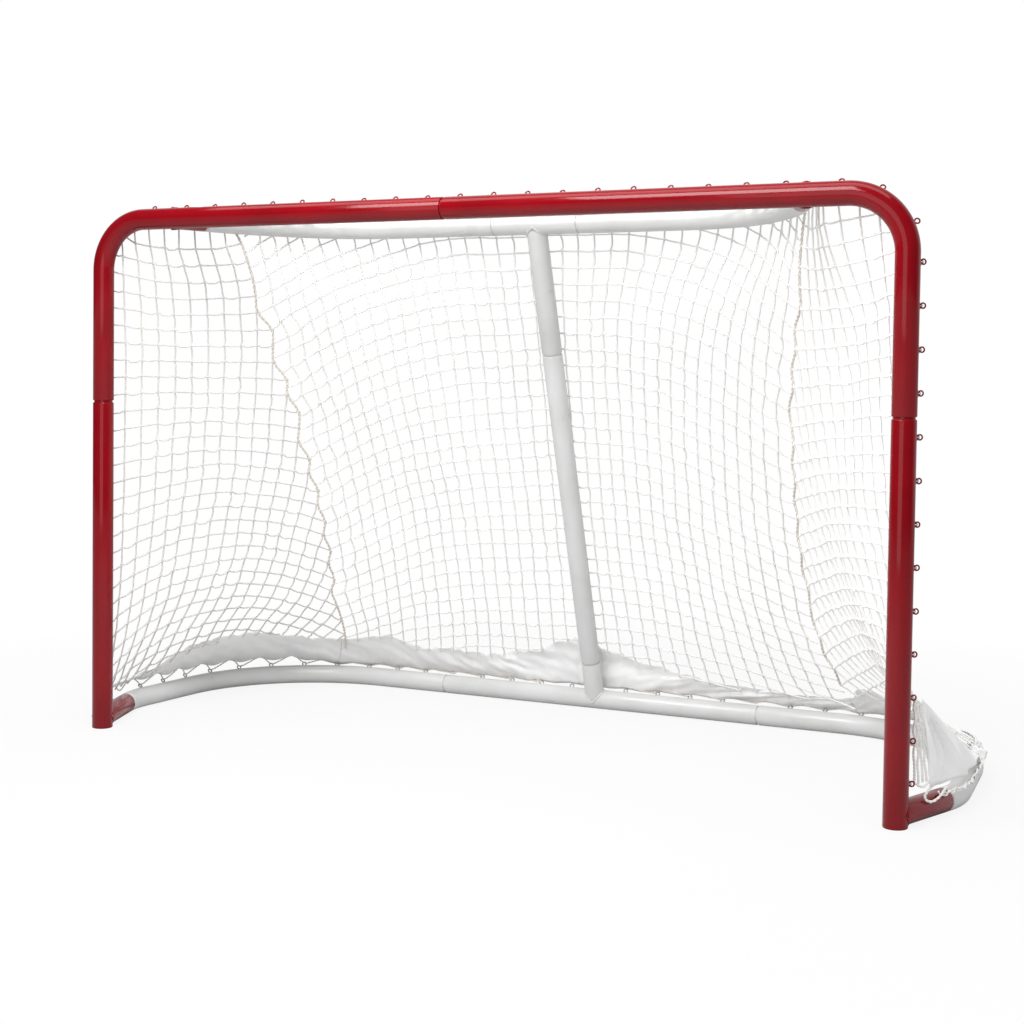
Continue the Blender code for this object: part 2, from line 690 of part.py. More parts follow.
def skirt_height(side, distance):
    edge = SKIRT_LEFT_EDGE if side == LEFT else SKIRT_RIGHT_EDGE
    for (start, low), (end, high) in zip(edge, edge[1:]):
        if distance <= end:
            return low + (high - low) * (distance - start) / (end - start)
    return edge[-1][1]


def net_at(rows, place, height):
    """A point on a panel, between its columns and rows."""
    marks = row_heights()
    level = min(sum(mark <= height for mark in marks), NET_ROWS) - 1
    share = (height - marks[level]) / (marks[level + 1] - marks[level])
    index = min(int(place), len(rows[0]) - 2)
    low, high = [row[index].lerp(row[index + 1], place - index) for row in rows[level:level + 2]]
    return low.lerp(high, share)


def skirt_column(side, distance, rows, place):
    """Points up the cloth, whose folds deepen towards its free upper edge."""
    out = outward(BASE[side].at(distance)[1], side)
    wave = 1 + math.sin(math.tau * distance / SKIRT_FOLD_LENGTH)
    column = [beside_base(side, distance, NET_FOOT_OUT, SKIRT_FOOT) + out * SKIRT_CLEAR]
    rise = (rows[-1][0] - rows[0][0]).length
    for share in spaced(0, 1, SKIRT_ROWS)[1:]:
        fold = SKIRT_FOLD * wave * (0.5 + 0.5 * share)
        spot = net_at(rows, place, skirt_height(side, distance) * share / rise)
        column.append(spot + out * (SKIRT_CLEAR + fold))
    return column


def skirt_panel(name, columns):
    obj = grid_from(columns, name, material("nylon_" + name, NYLON, 0.6))
    cloth = obj.modifiers.new("cloth", "SOLIDIFY")
    cloth.thickness = SKIRT_THICKNESS
    cloth.offset = 0.0


def skirt():
    step = SKIRT_FOLD_LENGTH / SKIRT_FOLD_STEPS
    for side in (LEFT, RIGHT):
        rows = side_rows(side)
        end = SEAM_FOOT[side] - SKIRT_SPLIT / 2
        columns = []
        for distance in spaced(SKIRT_START, end, round((end - SKIRT_START) / step)):
            columns.append(skirt_column(side, distance, rows, distance / end * SIDE_COLUMNS))
        skirt_panel("skirt_" + NAMES[side], columns if side == LEFT else columns[::-1])
    rows = back_rows()
    half = BACK_COLUMNS / 2
    columns = []
    for side in (LEFT, RIGHT):
        start, end = SEAM_FOOT[side] + SKIRT_SPLIT / 2, BASE[side].length()
        distances = spaced(start, end, round((end - start) / step))
        if side == RIGHT:
            distances = distances[-2::-1]
        for distance in distances:
            place = half + side * (1 - (distance - start) / (end - start)) * half
            columns.append(skirt_column(side, distance, rows, place))
    skirt_panel("skirt_back", columns)


def centre_on_origin():
    """Moves the whole goal on the level until its bounding box is centred."""
    graph = bpy.context.evaluated_depsgraph_get()
    spots = []
    for child in ROOT.children:
        if child.hide_render:
            continue
        shown = child.evaluated_get(graph)
        spots += [shown.matrix_world @ vertex.co for vertex in shown.to_mesh().vertices]
    for axis in (0, 1):
        places = [spot[axis] for spot in spots]
        ROOT.location[axis] = -(min(places) + max(places)) / 2


front_frame()
base()
top_bar()
centre_post()
net()
for end in (LEFT, RIGHT):
    seam_cord(end)
skirt()
centre_on_origin()
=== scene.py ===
"""Looks of the ice hockey goal: painted tubes, wire hooks, knotted net, lacing and nylon skirt."""
import bisect
import copy
import json
import random
from collections import namedtuple
from math import atan2, ceil, copysign, cos, exp, hypot, pi, radians, sin, sqrt, tau

import bmesh
import bpy
from mathutils import Matrix, Vector, noise


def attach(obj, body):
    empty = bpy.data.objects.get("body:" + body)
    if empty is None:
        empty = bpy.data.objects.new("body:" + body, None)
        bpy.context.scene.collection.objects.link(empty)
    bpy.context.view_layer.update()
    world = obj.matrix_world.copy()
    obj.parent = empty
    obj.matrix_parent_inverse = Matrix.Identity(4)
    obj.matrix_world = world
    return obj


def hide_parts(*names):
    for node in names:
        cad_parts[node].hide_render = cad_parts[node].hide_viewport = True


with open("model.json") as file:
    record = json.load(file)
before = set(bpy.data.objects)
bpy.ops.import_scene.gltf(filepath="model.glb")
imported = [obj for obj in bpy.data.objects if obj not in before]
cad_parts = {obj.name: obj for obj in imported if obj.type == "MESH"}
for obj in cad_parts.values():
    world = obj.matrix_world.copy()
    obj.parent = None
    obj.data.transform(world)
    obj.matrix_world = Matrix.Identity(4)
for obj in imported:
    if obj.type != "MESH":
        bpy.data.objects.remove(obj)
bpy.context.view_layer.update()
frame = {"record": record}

# Driving sizes of the frame, in metres and degrees
TUBE_R = 0.024
WALL = 0.0025
OPENING_WIDTH = 1.8288
OVERALL_HEIGHT = 1.2192
CORNER_RADIUS = 0.115
POST_JOINT_HEIGHT = 0.775
CROSSBAR_JOINT_X = -0.040
BASE_DEPTH = 0.786
BASE_FLARE = 20.0
BASE_TOE_IN = 3.5
BASE_STUB = 0.170
BASE_SIDE_RADIUS = 0.200
BASE_REAR_RADIUS = 0.369
BASE_JOINT_X = 0.430
BASE_TEE = 0.105
LEAD = 0.012
TOP_DEPTH = 0.384
TOP_START_X = 0.743
TOP_DRAW_IN = 21.0
TOP_STUB = 0.085
TOP_SIDE_RADIUS = 0.600
TOP_SIDE_TURN = 20.0
TOP_REAR_RADIUS = 0.300
TOP_JOINT_X = 0.107
TOP_TEE = 0.311

POST_X = OPENING_WIDTH / 2 + TUBE_R
BAR_Z = OVERALL_HEIGHT - TUBE_R
FRONT_Y = frame["record"]["mounts"][0]["pos_m"][1]
UP = Vector((0, 0, 1))
ACROSS = Vector((1, 0, 0))
FORWARDS = Vector((0, -1, 0))
LEFT = -1
RIGHT = 1
NAMES = {LEFT: "left", RIGHT: "right"}
REAR_ENDS = {LEFT: "open", RIGHT: "spigot"}

# Fine form of the tubes
TUBE_SEGMENTS = 40
BEND_STEP = 3.0
LIP = 0.0014
SHOULDER = 0.0026
JOINT_GAP = 0.0042
SPIGOT = 0.030
SPIGOT_PLAY = 0.0003
FOOT_BEVEL = 0.0015
BEAD_R = 0.0026
BEAD_STEPS = 72
BEAD_SEGMENTS = 8

# Wire hooks
WIRE_R = 0.0016
WIRE_SEGMENTS = 8
FOOT_STEP = 25.0
EYE_STEP = 21.0
EYE_R = 0.0049
EYE_MOUTH = 32.0
HOOK_BEND = 0.0024
FOOT_LENGTH = 0.0096
POST_HOOK_PITCH = 0.082
POST_HOOK_FIRST = 0.081
POST_HOOK_TILT = 40.0
BAR_HOOK_PITCH = 0.0785
BAR_HOOKS = 19
BAR_HOOK_MIDDLE_X = -0.010
BAR_END_HOOK_X = 0.806
BAR_HOOK_TILT = 35.0
BASE_HOOK_PITCH = 0.086
BASE_HOOK_FIRST = 0.105
BASE_HOOK_TILT = 45.0
STUB_HOOK = 0.110
CORNER_HOOK_TURN = 19.3
HOOK_CLEAR = 0.027
EYE_LIFT = 0.0092
EYE = TUBE_R + EYE_LIFT

# Net
MESH = 0.0390
TWINE_R = 0.0020
KNOT_R = 0.0035
KNOT_SWELL = 1.75
NET_FOOT = 0.062
NET_FOOT_OUT = 0.018
NET_REACH = TUBE_R + 0.008 + 0.002
NET_WRAP = 25.0
NET_START = 0.045
TOP_WRAP = 75.0
TOP_LIFT = 0.008
TOP_DIP = 0.016
NET_FLARE = 0.150
NET_DRAW = 0.170
NET_BILLOW = 0.030
POST_EDGE_X = 0.949
POST_EDGE_Y = 0.031
SEAM_FOOT = {LEFT: 0.870, RIGHT: 0.980}
SEAM_HEAD = {LEFT: 0.165, RIGHT: 0.200}
SEAM_SAG = {LEFT: (0.130, 0.6), RIGHT: (0.095, 1.0)}
SEAM_SAG_LOW = 0.75
SEAM_DROP = 0.205
SEAM_DROP_COLUMNS = 14
SEAM_FOOT_Z = 0.09
SEAM_CORD_R = 0.0018
# Side rows as shares of the height: first row and pitch at the post, the same at the seam, and the arch
# between them
SIDE_ROWS = {
    LEFT: ((0.930, 0.0371), (0.913, 0.0347), (-0.022, 0.0030, 0.00009)),
    RIGHT: ((0.945, 0.0350), (0.920, 0.0362), (-0.022, 0.0018, 0.00010)),
}
SIDE_ROW_COUNT = 30
JITTER = 0.0030
SEWN_IN = 0.012
CORD_STEP = 0.0028

# Skirt: its start along the base, the right one's front, and its upper edge as (distance, height)
SKIRT_START = {LEFT: 0.045, RIGHT: 0.085}
CLOTH_FRONT = 0.400
CLOTH_APEX = (0.974, 0.046, 0.240)
CLOTH_TUCK = 0.034
SKIRT_CLEAR = 0.0045
SKIRT_STEP = 0.0055
CLOTH = 0.0006
SKIRT_EDGES = {
    LEFT: ((0.045, 0.012), (0.19, 0.014), (0.27, 0.030), (0.330, 0.066), (0.379, 0.092), (0.476, 0.106),
           (0.583, 0.108), (0.725, 0.090), (0.787, 0.078), (0.876, 0.073), (1.018, 0.090),
           (1.062, 0.080), (1.133, 0.059), (1.231, 0.062), (1.347, 0.057), (1.453, 0.069),
           (1.533, 0.086), (1.595, 0.108), (1.641, 0.122)),
    RIGHT: ((0.045, 0.180), (0.10, 0.165), (0.40, 0.012), (0.62, 0.010), (0.80, 0.040), (0.858, 0.056),
            (0.920, 0.060), (0.974, 0.026), (1.009, 0.018), (1.089, 0.020), (1.169, 0.024),
            (1.267, 0.030), (1.355, 0.046), (1.444, 0.064), (1.551, 0.093), (1.622, 0.122),
            (1.641, 0.122)),
}

# A loose end of the lacing at the right foot
FOOT_LOOP = ((0.966, 0.026, 0.083), (0.980, 0.050, 0.068), (0.989, 0.075, 0.084), (0.997, 0.092, 0.102),
             (1.005, 0.105, 0.105), (1.006, 0.107, 0.090), (0.995, 0.100, 0.072), (0.985, 0.078, 0.062),
             (0.978, 0.060, 0.048), (0.990, 0.068, 0.037), (1.004, 0.090, 0.046), (1.010, 0.120, 0.060))

# Camera, from the photograph
LENS = 58.2
CAMERA_AT = (1.6035, -3.1089, 0.8306)
CAMERA_YAW = 25.39
CAMERA_PITCH = -2.29
CAMERA_ROLL = -0.75
PRINCIPAL_ROW = 448.2
FRAME_PIXELS = 1024

# The same lean of the hooks and the same unevenness of the net in each run
SEED = 7
rng = random.Random(SEED)
noise.seed_set(SEED)


def at(x, y, z):
    """A point given from the middle plane of the front frame."""
    return Vector((x, y + FRONT_Y, z))


def swell(part):
    """Nothing at 0 and at 1, and full halfway."""
    return sin(pi * part)


def drift(x, y, z):
    return noise.noise(Vector((x, y, z)))


def in_scene(name, data):
    made = bpy.data.objects.new(name, data)
    bpy.context.collection.objects.link(made)
    return made


Move = namedtuple("Move", "point heading length radius degrees")


class Course:
    """The middle line of a bent tube: straight runs and bends in one plane."""

    def __init__(self, start, heading):
        self.position = start
        self.heading = heading
        self.moves = []

    @property
    def length(self):
        return sum(move.length for move in self.moves)

    def straight(self, length):
        self.moves.append(Move(self.position, self.heading, length, 0.0, 0.0))
        self.position = self.position + self.heading * length
        return self

    def bend(self, radius, degrees):
        length = radius * radians(abs(degrees))
        self.moves.append(Move(self.position, self.heading, length, radius, degrees))
        self.position, self.heading = self.along_move(self.moves[-1], length)
        return self

    def along_move(self, move, distance):
        if not move.radius:
            return move.point + move.heading * distance, move.heading
        centre = bend_centre(move.point, move.heading, UP, move.radius, move.degrees)
        turn = Matrix.Rotation(radians(move.degrees) * distance / move.length, 3, UP)
        return centre + turn @ (move.point - centre), turn @ move.heading

    def at(self, distance):
        """Point and heading at a distance along the course."""
        for move in self.moves[:-1]:
            if distance <= move.length:
                return self.along_move(move, distance)
            distance -= move.length
        return self.along_move(self.moves[-1], distance)


def bend_centre(point, heading, normal, radius, degrees):
    return point + normal.cross(heading) * radius * copysign(1.0, degrees)


def outwards(side, degrees):
    """Level heading on one side of the goal, turned outwards from straight back."""
    angle = radians(degrees)
    return Vector((side * sin(angle), cos(angle), 0))


def bar_course(side, start, turns, lead, radii, depth):
    """The middle line of a bar: off its stub, round the side's bend, back, and round the rear bend.

    Its sides turn in by the first of two angles before the side's bend, and by the second after it."""
    first, last = (radians(turn) for turn in turns)
    spent = lead * cos(first) + radii[0] * (sin(last) - sin(first)) + radii[1] * (1 - sin(last))
    course = Course(start, outwards(side, -turns[0]))
    course.straight(lead).bend(radii[0], side * (turns[1] - turns[0]))
    course.straight((depth - spent) / cos(last)).bend(radii[1], side * (90.0 - turns[1]))
    return course.straight(abs(course.position.x))


BASE, TOP = {}, {}
for side in (LEFT, RIGHT):
    BASE[side] = bar_course(side, at(side * POST_X, 0, TUBE_R), (-BASE_FLARE, BASE_TOE_IN),
                            BASE_STUB + LEAD, (BASE_SIDE_RADIUS, BASE_REAR_RADIUS), BASE_DEPTH)
    TOP[side] = bar_course(side, at(side * TOP_START_X, 0, BAR_Z),
                           (TOP_DRAW_IN, TOP_DRAW_IN + TOP_SIDE_TURN),
                           TOP_STUB + LEAD, (TOP_SIDE_RADIUS, TOP_REAR_RADIUS), TOP_DEPTH)
BACK_FOOT = at(0, BASE_DEPTH, TUBE_R)
BACK_HEAD = at(0, TOP_DEPTH, BAR_Z)
LEAN = (BACK_HEAD - BACK_FOOT).normalized()


def set_camera():
    """The photograph's camera: its place and angle were worked out from the straight tubes."""
    lens = bpy.data.cameras.new("camera")
    lens.lens = LENS
    lens.sensor_width = 36.0
    lens.shift_y = (PRINCIPAL_ROW - FRAME_PIXELS / 2) / FRAME_PIXELS
    camera = in_scene("camera", lens)
    level = Matrix.Rotation(radians(CAMERA_YAW), 4, "Z")
    tilt = Matrix.Rotation(radians(90.0 + CAMERA_PITCH), 4, "X")
    roll = Matrix.Rotation(radians(-CAMERA_ROLL), 4, "Z")
    camera.matrix_world = Matrix.Translation(at(*CAMERA_AT)) @ level @ tilt @ roll
    bpy.context.scene.camera = camera


class Nodes:
    """A node tree, with short calls for the nodes that the finishes, the studio and the floor use."""

    def __init__(self, owner):
        owner.use_nodes = True
        self.tree = owner.node_tree

    def plug(self, value, socket):
        """A socket is linked to another one; a number or a colour is its value."""
        if isinstance(value, bpy.types.NodeSocket):
            self.tree.links.new(value, socket)
        else:
            socket.default_value = (*value, 1.0) if isinstance(value, tuple) else value

    def add(self, kind, inputs=None, **settings):
        node = self.tree.nodes.new("ShaderNode" + kind)
        for name, value in settings.items():
            setattr(node, name, value)
        for name, value in (inputs or {}).items():
            self.plug(value, node.inputs[name])
        return node

    def noise(self, vector, scale, detail=4.0, roughness=0.55):
        inputs = {"Vector": vector, "Scale": scale, "Detail": detail, "Roughness": roughness}
        return self.add("TexNoise", inputs).outputs["Fac"]

    def ramp(self, factor, *stops):
        """From one colour, or shade of grey, to another between two places."""
        node = self.add("ValToRGB", {"Fac": factor})
        for element, (place, colour) in zip(node.color_ramp.elements, stops):
            element.position = place
            element.color = (*(colour if isinstance(colour, tuple) else (colour,) * 3), 1.0)
        return node.outputs["Color"]

    def mix(self, factor, first, second):
        inputs = {"Factor": factor, "A": first, "B": second}
        return self.add("Mix", inputs, data_type="RGBA").outputs["Result"]


def finish(name, tones, specks=None, gloss=None, grain=None, **values):
    """A material that drifts between two tones, with specks, uneven gloss and a fine grain.

    Each part starts with the noise it follows: scale, detail and roughness."""
    material = bpy.data.materials.new(name)
    nodes = Nodes(material)
    shader = nodes.tree.nodes["Principled BSDF"].inputs
    coords = nodes.add("TexCoord").outputs["Object"]
    for key, value in values.items():
        shader[key.replace("_", " ")].default_value = value
    pattern, low, high = tones
    colour = nodes.ramp(nodes.noise(coords, *pattern), low, high)
    if specks:
        pattern, low, high, speck = specks
        colour = nodes.mix(nodes.ramp(nodes.noise(coords, *pattern), low, high), colour, speck)
    nodes.plug(colour, shader["Base Color"])
    if gloss:
        pattern, low, high = gloss
        nodes.plug(nodes.ramp(nodes.noise(coords, *pattern), low, high), shader["Roughness"])
    if grain:
        pattern, strength, distance = grain
        height = nodes.noise(coords, *pattern)
        bump = nodes.add("Bump", {"Strength": strength, "Distance": distance, "Height": height})
        nodes.plug(bump.outputs["Normal"], shader["Normal"])
    return material


def twine(name, dark, light):
    strands = (1400.0, 2.0, 0.5)
    return finish(name, tones=((9.0, 3.0), (0.25, dark), (0.75, light)),
                  specks=(strands, (0.3, 0.0), (0.7, 0.35), dark), grain=(strands, 0.5, 0.0006),
                  Roughness=0.85, Sheen_Weight=0.25, Sheen_Roughness=0.5)


RED = finish("red_paint",
             tones=((5.0,), (0.30, (0.160, 0.0016, 0.0044)), (0.70, (0.205, 0.0020, 0.0060))),
             specks=((75.0, 6.0, 0.7), (0.745, 0), (0.755, 1), (0.30, 0.17, 0.17)),
             gloss=((18.0, 5.0, 0.6), (0.35, 0.10), (0.75, 0.18)), grain=((220.0, 2.0), 0.06, 0.0003),
             Coat_Weight=0.08, Coat_Roughness=0.04, Specular_IOR_Level=0.25)
WHITE = finish("white_coat", tones=((7.0,), (0.30, (0.55, 0.555, 0.545)), (0.72, (0.62, 0.625, 0.62))),
               specks=((26.0, 8.0, 0.75), (0.67, 0), (0.74, 1), (0.52, 0.52, 0.51)),
               gloss=((14.0, 5.0, 0.6), (0.3, 0.26), (0.75, 0.42)), grain=((160.0, 2.0), 0.12, 0.0004),
               Coat_Weight=0.3, Coat_Roughness=0.10)
ZINC = finish("zinc_wire", tones=((300.0, 3.0), (0.3, (0.36, 0.37, 0.38)), (0.7, (0.55, 0.56, 0.57))),
              gloss=((500.0,), (0.3, 0.3), (0.8, 0.55)), Metallic=1.0)
NYLON = finish("nylon_cloth",
               tones=((12.0, 5.0), (0.25, (0.82, 0.815, 0.81)), (0.75, (0.90, 0.895, 0.89))),
               grain=((900.0, 2.0, 0.5), 0.25, 0.0003), Roughness=0.55, Sheen_Weight=0.15)
# One net twine in lit and shaded copies: the left net's twine is darker as painted shade, the right
# net's is lighter as painted light, and the back's lies between them
LIT_AND_SHADED_TWINES = {
    LEFT: twine("net_twine_left_painted_shade", (0.54, 0.53, 0.505), (0.65, 0.64, 0.615)),
    0: twine("net_twine_back_painted_light", (0.71, 0.70, 0.675), (0.83, 0.825, 0.80)),
    RIGHT: twine("net_twine_right_painted_more_light", (0.77, 0.76, 0.735), (0.88, 0.875, 0.85)),
}
SEAM_TWINE = twine("seam_twine", (0.58, 0.54, 0.47), (0.74, 0.70, 0.63))


class Pipe:
    """A tube that grows ring by ring from a circle, in a mesh that it may share with other tubes."""

    def __init__(self, bm, point, heading, normal, radius=TUBE_R, segments=TUBE_SEGMENTS):
        self.bm = bm
        self.point = point.copy()
        self.heading = heading.normalized()
        self.radius = radius
        across = normal.cross(self.heading).normalized()
        turn = Matrix((across, self.heading.cross(across), self.heading)).transposed().to_4x4()
        made = bmesh.ops.create_circle(bm, cap_ends=False, segments=segments, radius=radius,
                                       matrix=Matrix.Translation(self.point) @ turn)
        self.ring = made["verts"]

    def extrude(self):
        """A second ring in the place of the last one, joined to it face by face."""
        last = self.ring
        self.ring = [self.bm.verts.new(vert.co) for vert in last]
        for index, vert in enumerate(self.ring):
            self.bm.faces.new((last[index - 1], last[index], vert, self.ring[index - 1]))

    def grow(self, length, radius=None):
        """One more ring, a length further on, with another radius where one is given."""
        self.extrude()
        self.point = self.point + self.heading * length
        bmesh.ops.translate(self.bm, verts=self.ring, vec=self.heading * length)
        if radius and radius != self.radius:
            space = Matrix.Translation(-self.point)
            factor = radius / self.radius
            bmesh.ops.scale(self.bm, verts=self.ring, vec=(factor, factor, factor), space=space)
            self.radius = radius
        return self

    def bend(self, radius, degrees, normal, step=BEND_STEP):
        centre = bend_centre(self.point, self.heading, normal, radius, degrees)
        steps = max(2, round(abs(degrees) / step))
        turn = Matrix.Rotation(radians(degrees) / steps, 3, normal)
        for _ in range(steps):
            self.extrude()
            bmesh.ops.rotate(self.bm, cent=centre, matrix=turn, verts=self.ring)
            self.point = centre + turn @ (self.point - centre)
            self.heading = turn @ self.heading
        return self

    def close(self):
        self.bm.faces.new(self.ring)
        return self

    def open_end(self):
        """Rolled lip and a short stretch of the tube's inside."""
        outer = self.radius
        self.grow(LIP * 0.7, outer - LIP * 0.3)
        self.grow(LIP * 0.3, outer - LIP)
        self.grow(0.0, outer - WALL)
        return self.grow(-SHOULDER * 4)

    def end(self, run, kind):
        """The last stretch of the tube and its end, open or with a spigot into the next tube."""
        if kind == "spigot":
            return self.grow(run - SHOULDER - JOINT_GAP).spigot_end()
        return self.grow(run - LIP).open_end()

    def spigot_end(self):
        """Rounded shoulder down to the spigot that goes into the next tube."""
        outer = self.radius
        inner = outer - WALL - SPIGOT_PLAY
        for turn in (30, 60, 90):
            angle = radians(turn)
            back = SHOULDER * (sin(angle) - sin(angle - radians(30)))
            self.grow(back, inner + (outer - inner) * cos(angle))
        return self.grow(SPIGOT).close()


def start_pipe(bm, point, heading, normal, end):
    """A pipe whose first end is open, a spigot, or closed with a small chamfer."""
    reach = {"open": LIP, "spigot": SHOULDER + JOINT_GAP, "foot": FOOT_BEVEL}[end]
    back = Pipe(bm, point + heading * reach, -heading, -normal)
    front = copy.copy(back)
    front.heading = heading.normalized()
    if end == "open":
        back.open_end()
    elif end == "spigot":
        back.spigot_end()
    else:
        back.grow(0.0008, TUBE_R - 0.0003)
        back.grow(FOOT_BEVEL - 0.0008, TUBE_R - 0.0011)
        back.close()
    return front, reach


def straight_pipe(bm, point, heading, normal, length, ends):
    pipe, spent = start_pipe(bm, point, heading, normal, ends[0])
    pipe.end(length - spent, ends[1])


def hook_mesh():
    """The bent wire of one hook, standing on the origin with its feet along X, and its welds."""
    bm = bmesh.new()
    turn = 180.0 - EYE_MOUTH
    half = EYE_R * sin(radians(EYE_MOUTH)) + HOOK_BEND * sin(radians(turn))
    pipe = Pipe(bm, Vector((-half - FOOT_LENGTH, 0, 0)), ACROSS, FORWARDS, WIRE_R, WIRE_SEGMENTS)
    pipe.close()
    pipe.grow(FOOT_LENGTH)
    pipe.bend(HOOK_BEND, turn, FORWARDS, FOOT_STEP)
    pipe.bend(EYE_R, -2 * turn, FORWARDS, EYE_STEP)
    pipe.bend(HOOK_BEND, turn, FORWARDS, FOOT_STEP)
    pipe.grow(FOOT_LENGTH).close()
    for side in (LEFT, RIGHT):
        place = Matrix.Translation((side * (half + FOOT_LENGTH * 0.55), 0, -WIRE_R * 0.6))
        size = Matrix.Diagonal((FOOT_LENGTH * 0.42, WIRE_R * 1.8, WIRE_R * 1.2, 1))
        bmesh.ops.create_icosphere(bm, subdivisions=1, radius=1.0, matrix=place @ size)
    bmesh.ops.recalc_face_normals(bm, faces=bm.faces)
    mesh = bpy.data.meshes.new("hook")
    bm.to_mesh(mesh)
    bm.free()
    return mesh


HOOK = hook_mesh()


def add_hook(bm, point, along, out, slot):
    """One hook on the surface of a tube whose middle line passes through point."""
    side = out.cross(along).normalized()
    turn = Matrix((along.normalized(), side, out.normalized())).transposed().to_4x4()
    lean = Matrix.Rotation(radians(rng.uniform(-7, 7)), 4, "X") @ \
        Matrix.Rotation(radians(rng.uniform(-3, 3)), 4, "Y")
    place = Matrix.Translation(point + out * (TUBE_R + WIRE_R * 0.2)) @ turn @ lean
    known_verts, known_faces = len(bm.verts), len(bm.faces)
    bm.from_mesh(HOOK)
    bm.verts.ensure_lookup_table()
    bm.faces.ensure_lookup_table()
    bmesh.ops.transform(bm, matrix=place, verts=bm.verts[known_verts:])
    for face in bm.faces[known_faces:]:
        face.material_index = slot


def add_hooks(bm, places, slot=0):
    for place in places:
        add_hook(bm, *place, slot)


def weld_bead(bm, point, main, branch):
    """Bead round the foot of a branch of tube, where it meets a tube of the same size."""
    across = main.cross(branch).normalized()
    lean = main.dot(branch)
    upright = sqrt(max(1e-6, 1 - lean * lean))
    rings = []
    for index in range(BEAD_STEPS):
        angle = tau * index / BEAD_STEPS
        side = cos(angle) * TUBE_R * 1.01
        forward = sin(angle) * TUBE_R * 1.01
        height = sqrt(max(0.0, TUBE_R ** 2 - (side * 0.999 / 1.01) ** 2))
        reach = (height + forward * lean) / upright
        base = point + across * side + (main - branch * lean).normalized() * forward + branch * reach
        rings.append(base)
    wire = Pipe(bm, rings[0], rings[1] - rings[-1], branch, BEAD_R, BEAD_SEGMENTS)
    first = wire.ring
    for index in range(1, BEAD_STEPS):
        heading = (rings[(index + 1) % BEAD_STEPS] - rings[index - 1]).normalized()
        turn = wire.heading.rotation_difference(heading).to_matrix()
        wire.extrude()
        bmesh.ops.rotate(bm, cent=wire.point, matrix=turn, verts=wire.ring)
        bmesh.ops.translate(bm, verts=wire.ring, vec=rings[index] - wire.point)
        ripple = 1 + 0.10 * sin(index * 2.6)
        for vert in wire.ring:
            vert.co = rings[index] + (vert.co - rings[index]).normalized() * BEAD_R * ripple
            vert.co.z = max(vert.co.z, 0.0)
        wire.point, wire.heading = rings[index], heading
    bmesh.ops.bridge_loops(bm, edges=ring_edges(wire.ring) + ring_edges(first))


def ring_edges(verts):
    ring = set(verts)
    found = [edge for vert in verts for edge in vert.link_edges if edge.other_vert(vert) in ring]
    return list(dict.fromkeys(found))


def object_of(bm, name, materials):
    mesh = bpy.data.meshes.new(name)
    bm.to_mesh(mesh)
    bm.free()
    for material in materials:
        mesh.materials.append(material)
    return in_scene(name, mesh)


def finished(bm, name, materials, node, smooth=40.0):
    """The piece's object, which stands for one CAD node."""
    bmesh.ops.recalc_face_normals(bm, faces=bm.faces)
    piece = object_of(bm, name, materials)
    piece.data.shade_smooth()
    piece.data.set_sharp_from_angle(angle=radians(smooth))
    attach(piece, "root")
    if node:
        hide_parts(node)


def stub(bm, point, main, heading, length, normal):
    """A branch of tube from inside the main tube to its open end, with its weld."""
    pipe = Pipe(bm, point + heading * TUBE_R * 0.4, heading, normal)
    pipe.grow(length - TUBE_R * 0.4 - LIP)
    pipe.open_end()
    weld_bead(bm, point, main, heading)


def post_hook(side, height):
    tilt = radians(POST_HOOK_TILT)
    return at(side * POST_X, 0, height), UP, Vector((side * cos(tilt), sin(tilt), 0))


def bar_hook(x):
    tilt = radians(BAR_HOOK_TILT)
    return at(x, 0, BAR_Z), ACROSS, Vector((0, sin(tilt), cos(tilt)))


def corner_hook(side, turn):
    centre = at(side * (POST_X - CORNER_RADIUS), 0, BAR_Z - CORNER_RADIUS)
    angle = radians(45 + turn)
    spoke = Vector((side * cos(angle), 0, sin(angle)))
    along = Vector((side * sin(angle), 0, -cos(angle)))
    tilt = radians(POST_HOOK_TILT)
    out = (spoke * cos(tilt) + Vector((0, sin(tilt), 0))).normalized()
    return centre + spoke * CORNER_RADIUS, along, out


def outward(heading, side):
    """Level direction out of the goal, square to a tube's heading."""
    return heading.cross(UP).normalized() * side


def base_hook(side, distance):
    point, heading = BASE[side].at(distance)
    tilt = radians(BASE_HOOK_TILT)
    return point, heading, outward(heading, side) * cos(tilt) + UP * sin(tilt)


def post_hook_heights():
    count = int((BAR_Z - CORNER_RADIUS - POST_HOOK_FIRST) / POST_HOOK_PITCH)
    return [POST_HOOK_FIRST + POST_HOOK_PITCH * index for index in range(count + 1)]


def base_hook_places(low, high):
    count = int((BASE[RIGHT].length - BASE_HOOK_FIRST) / BASE_HOOK_PITCH)
    places = [BASE_HOOK_FIRST + BASE_HOOK_PITCH * index for index in range(count + 1)]
    return [place for place in places if low < place < high]


